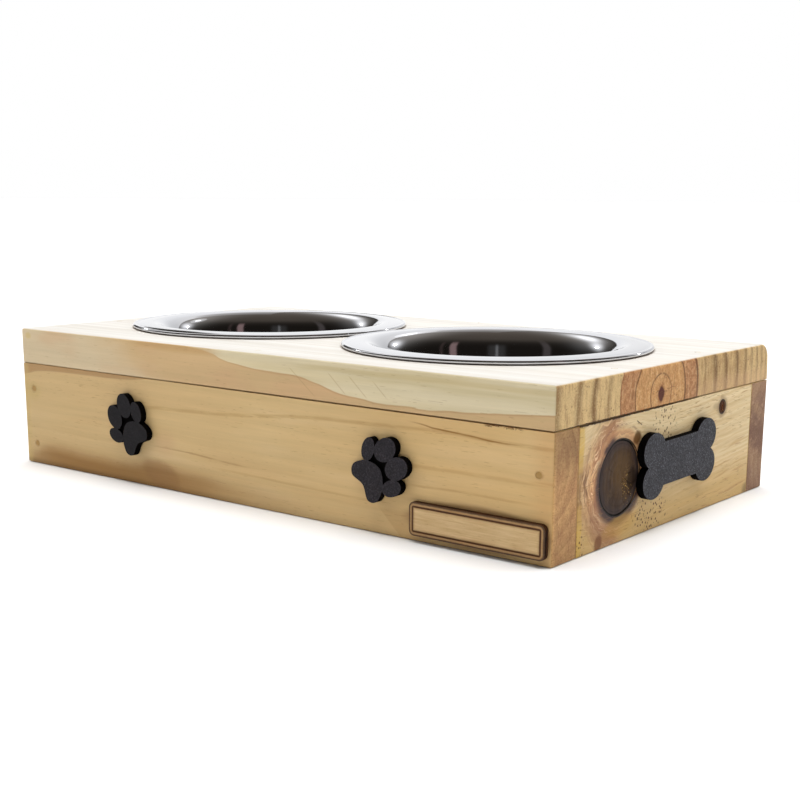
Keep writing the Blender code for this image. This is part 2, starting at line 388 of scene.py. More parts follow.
class Net:
    """One material's nodes."""

    def __init__(self, name):
        self.material = bpy.data.materials.new(name)
        self.material.use_nodes = True
        self.tree = self.material.node_tree
        self.shader = self.tree.nodes["Principled BSDF"]
        self.spot = 0

    def node(self, kind, **settings):
        made = self.tree.nodes.new(kind)
        self.spot += 1
        made.location = (-220 * (self.spot % 12) - 300, -180 * (self.spot // 12))
        for key, value in settings.items():
            setattr(made, key, value)
        return made

    def put(self, value, socket):
        if isinstance(value, Num):
            self.tree.links.new(value.socket, socket)
        elif hasattr(value, "is_output"):
            self.tree.links.new(value, socket)
        else:
            socket.default_value = value

    def math(self, kind, *values, clamp=False):
        made = self.node("ShaderNodeMath", operation=kind, use_clamp=clamp)
        for value, socket in zip(values, made.inputs):
            self.put(value, socket)
        return Num(self, made.outputs[0])

    def point(self):
        """x, y, z in millimetres about the middle of the wood."""
        if not hasattr(self, "_point"):
            coordinates = self.node("ShaderNodeTexCoord")
            grow = self.node("ShaderNodeVectorMath", operation="SCALE")
            grow.inputs["Scale"].default_value = 1 / MM
            self.tree.links.new(coordinates.outputs["Object"], grow.inputs[0])
            parts = self.node("ShaderNodeSeparateXYZ")
            self.tree.links.new(grow.outputs[0], parts.inputs[0])
            normal = self.node("ShaderNodeSeparateXYZ")
            self.tree.links.new(coordinates.outputs["Normal"], normal.inputs[0])
            self._point = tuple(Num(self, s) for s in parts.outputs)
            self.normal = tuple(Num(self, s) for s in normal.outputs)
        return self._point

    def vector(self, x, y, z):
        made = self.node("ShaderNodeCombineXYZ")
        for value, socket in zip((x, y, z), made.inputs):
            self.put(value, socket)
        return made.outputs[0]

    def noise(self, x, y, z, detail=2.0, rough=0.5, distortion=0.0, shift=0.0):
        """Smooth noise about 0.5, one wave per unit."""
        made = self.node("ShaderNodeTexNoise")
        if shift:
            x = x + shift
        self.tree.links.new(self.vector(x, y, z), made.inputs["Vector"])
        made.inputs["Scale"].default_value = 1.0
        made.inputs["Detail"].default_value = detail
        made.inputs["Roughness"].default_value = rough
        made.inputs["Distortion"].default_value = distortion
        return Num(self, made.outputs[0])

    def cells(self, x, y, z, randomness=1.0):
        """Distance to the nearest of scattered points, one point per unit."""
        made = self.node("ShaderNodeTexVoronoi", feature="F1")
        self.tree.links.new(self.vector(x, y, z), made.inputs["Vector"])
        made.inputs["Scale"].default_value = 1.0
        made.inputs["Randomness"].default_value = randomness
        return Num(self, made.outputs["Distance"])

    def step(self, value, low, high):
        """0 below low, 1 above high, smooth between; high may be the smaller."""
        made = self.node("ShaderNodeMapRange", interpolation_type="SMOOTHSTEP")
        flipped = high < low
        if flipped:
            low, high = high, low
        self.put(value, made.inputs["Value"])
        made.inputs["From Min"].default_value = low
        made.inputs["From Max"].default_value = high
        made.inputs["To Min"].default_value = 1.0 if flipped else 0.0
        made.inputs["To Max"].default_value = 0.0 if flipped else 1.0
        return Num(self, made.outputs[0])

    def band(self, value, low, high, soft):
        """1 between low and high."""
        return self.step(value, low - soft, low + soft) * self.step(
            value, high + soft, high - soft
        )

    def curve(self, value, points, handle="AUTO"):
        """A curve drawn through the given (value, result) points."""
        x0, x1 = points[0][0], points[-1][0]
        ys = [p[1] for p in points]
        y0, y1 = min(ys), max(ys)
        if y1 - y0 < 1e-6:
            y1 = y0 + 1.0
        made = self.node("ShaderNodeFloatCurve")
        line = made.mapping.curves[0]
        while len(line.points) < len(points):
            line.points.new(0.5, 0.5)
        for spot, (x, y) in zip(line.points, points):
            spot.location = ((x - x0) / (x1 - x0), (y - y0) / (y1 - y0))
            spot.handle_type = handle
        made.mapping.update()
        self.put((value - x0) / (x1 - x0), made.inputs["Value"])
        return Num(self, made.outputs[0]) * (y1 - y0) + y0

    def ellipse(self, a, b, centre, half, turn=0.0):
        """Distance from an ellipse's middle, 1 on its edge."""
        c, s = math.cos(math.radians(turn)), math.sin(math.radians(turn))
        da, db = a - centre[0], b - centre[1]
        u = (da * c + db * s) / half[0]
        v = (db * c - da * s) / half[1]
        return (u * u + v * v).root()

    def mix(self, share, first, second, blend="MIX"):
        made = self.node("ShaderNodeMix", data_type="RGBA", blend_type=blend)
        made.clamp_factor = True
        self.put(share, made.inputs[0])
        self.put(first, made.inputs[6])
        self.put(second, made.inputs[7])
        return made.outputs[2]

    def shade(self, colour, amount):
        """The colour times a number that differs over the surface."""
        made = self.node("ShaderNodeVectorMath", operation="SCALE")
        self.put(colour, made.inputs[0])
        self.put(amount, made.inputs["Scale"])
        return made.outputs[0]

    def bump(self, height, strength, distance_mm):
        made = self.node("ShaderNodeBump")
        made.inputs["Strength"].default_value = strength
        made.inputs["Distance"].default_value = distance_mm * MM
        self.put(height, made.inputs["Height"])
        self.tree.links.new(made.outputs[0], self.shader.inputs["Normal"])

    def out(self, colour, rough):
        self.put(colour, self.shader.inputs["Base Color"])
        self.put(rough, self.shader.inputs["Roughness"])
        return self.material


class Pine(Net):
    """Pine whose figure runs right through the board.

    g is the distance along the grain; a and b are across it.
    """

    def __init__(self, name, along, seed):
        super().__init__(name)
        self.seed = seed
        x, y, z = self.point()
        self.g, self.a, self.b = (x, y, z) if along == "x" else (y, x, z)
        nx, ny, nz = self.normal
        across_end = nx if along == "x" else ny
        self.end = self.step(abs(across_end), 0.55, 0.85)

    def grain(self, per_g, per_ab, **how):
        return self.noise(
            self.g * per_g + self.seed, self.a * per_ab, self.b * per_ab, **how
        )

    def fibre(self):
        """About 1, varying as sanded fibres do."""
        fine = self.grain(0.05, 1.5, detail=3.0, rough=0.6)
        middle = self.grain(0.010, 0.30, detail=3.0, rough=0.55)
        broad = self.grain(0.004, 0.035, detail=2.0)
        return (
            1.0
            + (fine - 0.5) * 0.13
            + (middle - 0.5) * 0.22
            + (broad - 0.5) * 0.16
        )

    def dashes(self, density=0.0):
        """Short dark resin canals along the grain: dots on the end."""
        fleck = self.grain(0.16, 1.9, detail=1.0, rough=0.4)
        patch = self.grain(0.012, 0.07, detail=1.0)
        return self.step(fleck + (patch - 0.5) * 0.26 + density, 0.665, 0.72)

    def rings(self, distance, marks):
        """Late wood, 0 to 1, by distance: marks are (middle, before, after, share)."""
        points = [(marks[0][0] - 30.0, 0.0)]
        for middle, before, after, share in marks:
            start = max(middle - before, points[-1][0] + 0.05)
            points += [(start, 0.0), (middle, share), (max(middle + after, middle + 0.05), 0.0)]
        points.append((points[-1][0] + 30.0, 0.0))
        return self.curve(distance, points, handle="VECTOR")


def finish_wood(net, colour, roughness=0.52, late=None):
    """The sanded surface that every board shares."""
    fibre = net.grain(0.07, 2.2, detail=2.0, rough=0.6)
    height = fibre * 0.6
    if late is not None:
        height = height + late * 0.8
    net.bump(height, 0.35, 0.12)
    net.shader.inputs["Specular IOR Level"].default_value = 0.22
    return net.out(colour, roughness + (fibre - 0.5) * 0.14 + net.end * 0.08)


PALE = linear(214, 190, 146)
END_PALE = linear(206, 176, 124)
HONEY = linear(210, 180, 128)
BROWN = linear(172, 130, 80)


PLAQUE_MIDDLE = (154.8, 12.0)
PLAQUE_HALF = (39.5, 8.6)
PLAQUE_CORNER = 3.0


def top_pine():
    net = Pine("pale_pine_top", "x", 3.0)
    x, y, z = net.point()
    nx, ny, nz = net.normal
    sway = (net.noise(x * 0.007, 4.0, 0.0, detail=1.0) - 0.5) * 5.0
    dy = y + 14.5 + sway * 0.5
    dz = z - 70.6
    lean = (net.noise(x * 0.012, y * 0.03, z * 0.05, detail=2.0) - 0.5) * 3.0
    r = (dy * dy + dz * dz * (net.step(dz, 0.0, 1.0) * 0.42 + 0.85)).root() + lean
    side = net.step(dy, -0.5, 0.5) * 2.0 - 1.0
    s = r * side
    late = net.rings(
        s,
        [
            (-99.0, 4.0, 5.5, 0.70),
            (-80.5, 3.6, 4.2, 0.78),
            (-66.5, 3.6, 4.0, 1.00),
            (-52.5, 3.0, 3.4, 0.55),
            (50.0, 1.8, 0.9, 0.70),
            (62.5, 5.2, 2.2, 1.00),
            (75.5, 5.0, 2.0, 1.00),
            (89.5, 4.6, 1.9, 1.00),
            (100.5, 3.6, 1.6, 0.85),
            (108.5, 2.8, 1.3, 0.66),
            (115.5, 2.6, 1.2, 0.60),
            (121.5, 2.4, 1.2, 0.55),
            (127.0, 2.2, 1.2, 0.50),
        ],
    )
    thin = net.rings(
        s,
        [
            (-41.2, 0.9, 0.6, 0.55),
            (-26.5, 1.0, 0.7, 0.95),
            (-11.0, 0.8, 0.6, 0.80),
            (11.0, 0.8, 0.6, 0.80),
            (26.5, 1.0, 0.8, 1.0),
            (40.6, 1.8, 0.9, 1.0),
        ],
    )
    # Painted light: the rings and the heart fade on faces that look up, as if washed out by the overhead light
    facing_up = net.step(nz, 0.5, 0.95)
    heart = net.band(s, -41.8, 41.8, 0.5) * (1.0 - facing_up * 0.72)
    outer = (1.0 - net.band(s, -27.0, 26.5, 1.0)) * heart
    flame = net.noise(x * 0.02, y * 0.35, z * 0.35, detail=3.0, rough=0.65)
    colour = net.mix(net.end, PALE, END_PALE)
    close_grown = net.band(s, 42.0, 101.0, 7.0) * net.end
    colour = net.mix(close_grown * 0.40, colour, linear(150, 110, 58))
    colour = net.mix(late * (1.0 - facing_up * 0.45), colour, net.mix(net.end, linear(176, 143, 98), linear(108, 76, 38)))
    inner = net.mix(net.step(flame, 0.36, 0.66), linear(204, 156, 100), linear(184, 132, 80))
    colour = net.mix(heart, colour, inner)
    outer_tone = net.mix(net.step(flame, 0.34, 0.64), linear(190, 138, 94), linear(156, 104, 64))
    colour = net.mix(outer * 0.85, colour, outer_tone)
    pith = net.step(
        net.ellipse(y, z, (-14.5, 69.8), (2.4, 4.0)).least(net.ellipse(y, z, (-14.3, 70.0), (3.1, 2.9)))
        + (flame - 0.5) * 0.6, 1.25, 0.85,
    )
    rust = net.step(net.ellipse(y, z, (-14.5, 69.8), (4.6, 5.6)), 1.3, 0.5)
    colour = net.mix(rust * 0.55 * net.end, colour, linear(150, 88, 44))
    # Drying cracks from the pith
    crack = net.band(z - 72.0 + (net.noise(x * 0.1, y * 0.3, 2.0) - 0.5) * 1.2, -0.22, 0.22, 0.18) * net.band(y, -9.0, 1.0, 1.0)
    crack2 = net.band(z - 71.2 + (y + 14.5) * 0.12 + (net.noise(x * 0.1, y * 0.4, 7.0) - 0.5) * 1.0, -0.26, 0.26, 0.18) * net.band(y, -19.0, -8.5, 1.0)
    colour = net.mix((crack * 0.45).most(crack2 * 0.9) * net.end, colour, linear(96, 50, 26))
    # End grain: pores and short radial flecks
    grit = net.noise(x * 0.05, y * 1.05, z * 1.05, detail=2.0, rough=0.6)
    pores = net.step(net.cells(x * 0.1, y * 0.52, z * 0.52), 0.30, 0.14) * net.step(
        net.noise(x * 0.05, y * 0.11, z * 0.20, detail=2.0, shift=3.0), 0.46, 0.62
    )
    mottle = net.noise(x * 0.03, y * 0.42, z * 0.11, detail=3.0, rough=0.6, shift=9.0)
    colour = net.mix(net.step(mottle, 0.50, 0.68) * 0.42 * net.end, colour, linear(138, 96, 54))
    colour = net.mix(net.step(mottle, 0.46, 0.32) * 0.34 * net.end, colour, linear(224, 194, 142))
    colour = net.mix(net.step(grit, 0.52, 0.70) * 0.30 * net.end, colour, linear(122, 80, 40))
    colour = net.mix(net.step(grit, 0.46, 0.28) * 0.26 * net.end, colour, linear(236, 208, 156))
    colour = net.mix(pores * 0.65 * net.end, colour, linear(104, 64, 32))
    colour = net.mix(thin * (1.0 - facing_up * 0.5), colour, linear(68, 27, 4))
    rosy_low = net.step(z, 75.0, 67.0) * net.step(y, 14.0, 40.0) * net.end
    colour = net.mix(rosy_low * 0.34, colour, linear(212, 172, 130))
    colour = net.mix(pith * 0.96 * net.end, colour, linear(76, 22, 2))
    # The lower arris, dark where it meets the end board
    foot_line = net.curve(y, [(-116, 0.10), (-95, 0.42), (-60, 0.40), (-10, 0.26), (30, 0.10), (60, -0.10), (116, -0.20)])
    outward = net.step(nx, 0.05, 0.30)
    foot_dark = net.step(z - 63.7 - foot_line + (grit - 0.5) * 1.2, 0.22, -0.22) * outward
    # Front edge: tan late wood grazed by the saw, cream above it
    front = net.step(ny, -0.45, -0.8)
    ragged = (net.noise(x * 0.05, 1.0, z * 0.2, detail=2.0) - 0.5) * 1.4
    line = net.curve(
        x,
        [
            (-200, 96), (-130, 92), (-60, 86), (-25, 82), (-18, 79.5), (-10, 78.3),
            (0, 77.2), (18, 75.8), (40, 75.0), (48, 73.4), (55, 71.7), (62, 70.0),
            (70, 68.6), (80, 67.8), (97, 66.2), (112, 66.8), (120, 66.0),
            (135, 66.8), (150, 67.6), (165, 68.6), (180, 69.8), (200, 71.6),
        ],
    )
    under = net.step(z - line + ragged, 0.35, -0.35)
    pale_left = net.step(x + (z - 74.0) * 2.0 + (net.noise(x * 0.03, 9.0, z * 0.08) - 0.5) * 60.0, -70.0, -130.0)
    tan = net.mix(net.noise(x * 0.02, 3.0, z * 0.11, detail=3.0), linear(202, 172, 126), linear(214, 180, 132))
    tan = net.mix(pale_left * 0.8, tan, linear(216, 198, 164))
    rosy = net.step(net.noise(x * 0.016, 5.0, z * 0.05), 0.5, 0.72)
    tan = net.mix(rosy * 0.5, tan, linear(207, 167, 126))
    cream = net.mix(
        net.step(net.noise(x * 0.013, 7.0, z * 0.16, detail=3.0), 0.35, 0.7),
        linear(220, 206, 172),
        linear(210, 194, 154),
    )
    olive = net.band(z + (net.noise(x * 0.02, 2.0, 0.0) - 0.5) * 3.0, 79.6, 82.2, 0.9) * net.step(x, 10.0, 60.0)
    cream = net.mix(olive * 0.55, cream, linear(196, 176, 128))
    face = net.mix(under, net.shade(cream, 0.965), net.shade(tan, 0.925))
    edge_line = net.band(z - line + ragged, -0.75, 0.1, 0.35)
    face = net.mix(edge_line * 0.42 * net.step(x, -40.0, 0.0), face, linear(172, 132, 88))
    brown_top = net.band(x, -90.0, -24.0, 9.0) * net.step(z + (net.noise(x * 0.03, 2.0, 5.0) - 0.5) * 3.0, 79.5, 82.5)
    face = net.mix(brown_top * 0.55, face, linear(186, 146, 92))
    # A few slanting scores left by the plane
    for x0, z0, x1, z1 in ((33, 79, 50, 66), (60, 78.5, 71, 69), (74, 78, 85, 68.5), (90, 76.5, 98, 69.5)):
        slope = (x1 - x0) / (z1 - z0)
        off = abs(x - (z - z0) * slope - x0)
        face = net.mix(
            net.step(off, 0.75, 0.2) * net.band(z, min(z0, z1), max(z0, z1), 1.0) * 0.30,
            face,
            linear(160, 128, 84),
        )
    colour = net.mix(front, colour, face)
    spot = net.step(net.ellipse(x, z, (-190.3, 80.6), (3.1, 2.2)), 1.3, 0.4) * front
    colour = net.mix(spot * 0.5, colour, linear(196, 168, 96))
    specks = net.dashes(-0.035)
    colour = net.mix(specks * 0.30, colour, linear(140, 104, 64))
    # Painted light: the upper face is painted much paler than the edges, standing in for the strong overhead light
    # that washes it out
    painted_top_light = net.mix(net.step(net.grain(0.006, 0.16, detail=3.0, rough=0.6), 0.36, 0.66), linear(217, 215, 211), linear(208, 204, 197))
    painted_top_light = net.mix(late * 0.22, painted_top_light, linear(194, 186, 172))
    painted_top_light = net.mix(heart * 0.22, painted_top_light, linear(212, 200, 184))
    for bx, by in BOWLS.values():
        # Painted shadow on the wood under each bowl's rim
        rim_shadow = net.band(((x - bx) * (x - bx) + (y - by) * (y - by)).root(), 84.0, 87.3, 0.9)
        painted_top_light = net.mix(rim_shadow * 0.55, painted_top_light, linear(132, 102, 76))
    colour = net.mix(net.step(nz, 0.62, 0.97) * 0.95, colour, painted_top_light)
    colour = net.mix(foot_dark * net.step(y, 90.0, 0.0).most(0.6) * 0.95, colour, linear(38, 15, 3))
    front_foot = net.step(z, 64.15, 63.80) * net.step(ny, -0.05, -0.30)
    colour = net.mix(front_foot * net.step(x, -190.0, 20.0).most(0.3) * 0.7, colour, linear(84, 54, 28))
    colour = net.shade(colour, net.fibre())
    return finish_wood(net, colour, 0.50, late)


def front_pine():
    net = Pine("honey_pine_front", "x", 11.0)
    x, y, z = net.point()
    nx, ny, nz = net.normal
    # Rings about a pith in front of the board, nearer towards the right
    pith_y = -126.2 + (x + 80.0) * 0.016
    wave = (net.noise(x * 0.011, 2.0, z * 0.02, detail=2.0) - 0.5) * 3.4
    dy = y - pith_y
    dz = z - 46.8 + wave
    r = (dy * dy + dz * dz).root()
    late = net.rings(
        r,
        [
            (20.5, 4.0, 0.8, 0.30),
            (27.5, 5.0, 0.9, 0.55),
            (35.5, 5.0, 1.0, 0.45),
            (42.5, 4.0, 1.0, 0.40),
            (49.0, 3.6, 1.0, 0.35),
        ],
    )
    front = net.step(ny, -0.45, -0.8)
    colour = net.mix(late * 0.55 * net.end + late * 0.22 * (1.0 - net.end), HONEY, BROWN)
    tone = net.noise(x * 0.009, y * 0.02, z * 0.05, detail=3.0, shift=4.0)
    colour = net.mix(net.step(tone, 0.42, 0.72) * 0.45, colour, linear(204, 170, 120))
    colour = net.mix(net.step(tone, 0.5, 0.25) * 0.4, colour, linear(220, 194, 150))
    jitter = (net.noise(x * 0.03, 6.0, z * 0.1, detail=3.0) - 0.5) * 2.4

    def grain_line(points, width, share, look, x0, x1):
        nonlocal colour
        middle = net.curve(x, points)
        off = abs(z - middle + jitter * 0.5)
        broken = net.step(net.noise(x * 0.06, z * 0.5, points[0][1], detail=2.0), 0.25, 0.55)
        mask = net.step(off, width, width * 0.25) * net.band(x, x0, x1, 9.0) * front
        colour = net.mix(mask * broken * share, colour, look)

    grain_line([(-200, 38), (-75, 47), (-40, 48), (-5, 50), (20, 52), (40, 54), (80, 55.2), (120, 56.2), (140, 56.6), (160, 55.6), (200, 55.2)], 1.5, 0.50, linear(176, 138, 84), -82, 205)
    grain_line([(-200, 60), (100, 60), (128, 57.6), (150, 56.4), (170, 55.2), (200, 55)], 0.65, 0.85, linear(140, 100, 48), 118, 172)
    grain_line([(-200, 36), (100, 37.4), (130, 38), (170, 38.2), (200, 39.8)], 1.5, 0.42, linear(180, 140, 88), 105, 205)
    grain_line([(-200, 28), (110, 28), (150, 28.6), (200, 27)], 0.9, 0.42, linear(176, 136, 84), 112, 182)
    grain_line([(-200, 26), (-75, 24.6), (-45, 24), (-20, 22.6), (40, 21), (200, 20)], 0.8, 0.55, linear(160, 120, 70), -76, -4)
    grain_line([(-200, 20), (0, 17.5), (60, 16.5), (200, 15)], 1.0, 0.35, linear(176, 136, 84), -20, 96)
    # Painted shade: the board darkens towards its foot, most of all along the floor
    foot = net.curve(x, [(-200, 4), (-185, 11), (-170, 15), (-120, 13.5), (-95, 14), (-70, 17), (-52, 16), (-30, 15), (0, 13), (50, 10), (110, 9), (200, 8)])
    depth = net.step(z - foot + jitter * 1.6, 3.0, -8.0) * front
    strength = net.curve(x, [(-200, 0.35), (-180, 0.75), (-150, 0.95), (-60, 0.85), (-10, 0.42), (40, 0.18), (70, 0.04), (200, 0.02)])
    colour = net.mix(depth * strength, colour, linear(160, 118, 64))
    floor_shade = net.curve(x, [(-200, 0.45), (-60, 0.45), (20, 0.22), (110, 0.10), (200, 0.10)])
    colour = net.mix(net.step(z, 4.0, 0.5) * front * floor_shade, colour, linear(112, 78, 40))
    blotch = net.step(net.ellipse(x, z, (-70, 8), (17, 9), -14) + (net.noise(x * 0.1, 3.0, z * 0.1) - 0.5) * 0.5, 1.15, 0.7) * front
    colour = net.mix(blotch * 0.42, colour, linear(142, 102, 62))
    rosy = net.step(net.ellipse(x, z, (-66, 27), (11, 9), 20), 1.2, 0.2) * front
    colour = net.mix(rosy * 0.35, colour, linear(196, 156, 118))
    slant = net.step(x - 93.0 + (z - 14.0) * 1.07, -0.6, 0.6) * net.step(z, 15.0, 11.0) * net.step(x, 150.0, 112.0) * front
    colour = net.mix(slant * 0.30, colour, linear(172, 130, 78))
    # Rosy wedge under the joint at the left
    wedge_low = net.curve(x, [(-200, 55.4), (-190, 57.6), (-180, 59.4), (-160, 60.4), (-120, 60.8), (-100, 61.3), (-85, 62.5), (-74, 63.6), (200, 66)])
    wedge = net.step(z - wedge_low + jitter * 0.35, -0.9, 0.9) * front
    colour = net.mix(wedge * 0.75, colour, linear(172, 132, 86))
    seam = net.step(abs(z - wedge_low), 0.55, 0.1) * net.step(x, -78.0, -92.0) * front
    colour = net.mix(seam * 0.22, colour, linear(140, 98, 60))
    lip = net.step(z, 62.95, 63.25) * net.step(ny, -0.05, -0.30)
    colour = net.mix(lip * net.step(x, -190.0, 20.0).most(0.35) * 0.85, colour, linear(70, 42, 20))
    burr = net.step(net.noise(x * 0.45, 5.0, z * 0.6, detail=3.0) + (z - 62.6) * 0.22, 0.46, 0.58) * net.band(x, 158.0, 178.0, 3.0) * front
    colour = net.mix(burr * 0.9, colour, linear(84, 46, 20))
    # Old stain round the nails, and yellow sapwood at the left-hand corner
    for px, pz, size in ((-187.0, 47.6, 1.0), (-186.3, 12.9, 0.9), (188.3, 42.8, 0.85)):
        ring = net.ellipse(x, z, (px, pz), (2.7 * size, 2.4 * size)) + (net.noise(x * 0.6, 1.0, z * 0.6, detail=2.0) - 0.5) * 0.9
        colour = net.mix(net.step(ring, 1.35, 0.55) * front * 0.60, colour, linear(152, 114, 60))
    halo = net.step(net.ellipse(x, z, (-188, 46), (8, 6)), 1.3, 0.4) * front
    colour = net.mix(halo * 0.35, colour, linear(190, 164, 98))
    edge = net.step(x + (net.noise(2.0, 4.0, z * 0.08) - 0.5) * 5.0, -190.0, -194.0) * front
    colour = net.mix(edge * 0.45, colour, linear(206, 178, 116))
    near_end = net.step(x, 180.0, 194.0) * front
    colour = net.mix(near_end * 0.35, colour, linear(198, 152, 100))
    # The wood darkens in a ring round the plaque's edge
    around = net.ellipse(x, z, PLAQUE_MIDDLE, (41.6, 10.6))
    colour = net.mix(net.step(around, 1.16, 0.93) * front * 0.5, colour, linear(120, 78, 44))
    specks = net.dashes(-0.030)
    colour = net.mix(specks * 0.34, colour, linear(146, 108, 60))
    # End grain
    end_tone = net.noise(x * 0.02, y * 0.16, z * 0.10, detail=4.0, rough=0.68, shift=8.0)
    end_colour = net.mix(net.step(end_tone, 0.30, 0.70), linear(196, 154, 102), linear(172, 126, 84))
    end_colour = net.mix(late * 0.8, end_colour, linear(128, 84, 54))
    end_colour = net.mix(net.step(y, -110.5, -113.8) * 0.55, end_colour, linear(208, 164, 104))
    grit = net.noise(x * 0.05, y * 0.95, z * 0.95, detail=3.0, rough=0.6)
    end_colour = net.mix(net.step(grit, 0.50, 0.72) * 0.5, end_colour, linear(120, 78, 50))
    end_colour = net.mix(net.step(grit, 0.46, 0.28) * 0.35, end_colour, linear(220, 180, 124))
    saw = net.step(net.noise(x * 0.05, y * 0.10, z * 1.3, detail=2.0, shift=6.0), 0.60, 0.70)
    end_colour = net.mix(saw * 0.35, end_colour, linear(136, 92, 62))
    end_colour = net.shade(end_colour, net.curve(z, [(-2, 0.92), (10, 0.94), (30, 1.05), (41, 0.96), (49, 0.78), (56, 0.70), (66, 0.80)]))
    colour = net.mix(net.end * 0.95, colour, end_colour)
    right_warmth = net.step(x, 20.0, 150.0) * front * (1.0 - net.step(z, 18.0, 8.0) * 0.6)
    colour = net.mix(right_warmth * 0.5, colour, linear(255, 244, 226), blend="MULTIPLY")
    # Painted shade: the whole face is made darker towards the left-hand end
    painted_light_ramp = net.curve(x, [(-200, 0.91), (-60, 0.955), (60, 1.0), (200, 1.02)])
    colour = net.shade(colour, net.fibre() * painted_light_ramp)
    return finish_wood(net, colour, 0.52, late)


def rear_pine():
    net = Pine("honey_pine_rear", "x", 23.0)
    x, y, z = net.point()
    wave = (net.noise(x * 0.009, 5.0, z * 0.02, detail=2.0) - 0.5) * 6.0
    dy = y - 152.0
    dz = z - 18.0 + wave
    r = (dy * dy + dz * dz).root()
    late = net.rings(
        r, [(m, 4.5, 0.9, 0.55) for m in (42.0, 48.5, 55.5, 62.0, 69.0, 76.0)]
    )
    colour = net.mix(late * 0.5, HONEY, BROWN)
    tone = net.noise(x * 0.008, y * 0.03, z * 0.045, detail=3.0, shift=14.0)
    colour = net.mix(net.step(tone, 0.42, 0.7) * 0.5, colour, linear(200, 162, 112))
    specks = net.dashes(0.0)
    colour = net.mix(specks * 0.5, colour, linear(138, 100, 56))
    for px, pz in ((-187.0, 47.6), (-186.3, 12.9), (188.0, 42.7), (188.0, 12.9)):
        ring = net.ellipse(x, z, (px, pz), (3.0, 2.7))
        colour = net.mix(net.step(ring, 1.35, 0.55) * 0.55 * (1.0 - net.end), colour, linear(152, 116, 68))
    end_tone = net.step(net.noise(x * 0.02, y * 0.05, z * 0.07, detail=3.0, shift=2.0), 0.35, 0.65)
    end_colour = net.mix(end_tone, linear(160, 126, 96), linear(132, 98, 80))
    dark = net.band(z + (y - 105.0) * 0.6, 22.0, 44.0, 6.0)
    blotch = net.noise(x * 0.02, y * 0.12, z * 0.16, detail=4.0, rough=0.68, shift=17.0)
    end_colour = net.mix(net.step(blotch, 0.46, 0.32) * 0.5, end_colour, linear(184, 152, 122))
    end_colour = net.mix((dark * 0.75).least(1.0) * net.step(blotch, 0.30, 0.55), end_colour, linear(96, 60, 50))
    end_colour = net.mix(net.step(z, 26.0, 4.0) * 0.5, end_colour, linear(132, 98, 78))
    end_colour = net.mix(late * 0.6, end_colour, linear(104, 68, 50))
    end_colour = net.mix(net.step(z, 52.0, 62.0) * 0.4, end_colour, linear(168, 132, 98))
    grit = net.noise(x * 0.05, y * 0.95, z * 0.95, detail=3.0, rough=0.6)
    end_colour = net.mix(net.step(grit, 0.50, 0.72) * 0.5, end_colour, linear(88, 58, 44))
    end_colour = net.mix(net.step(grit, 0.46, 0.28) * 0.3, end_colour, linear(190, 156, 122))
    colour = net.mix(net.end * 0.95, colour, end_colour)
    colour = net.shade(colour, net.fibre())
    return finish_wood(net, colour, 0.52, late)


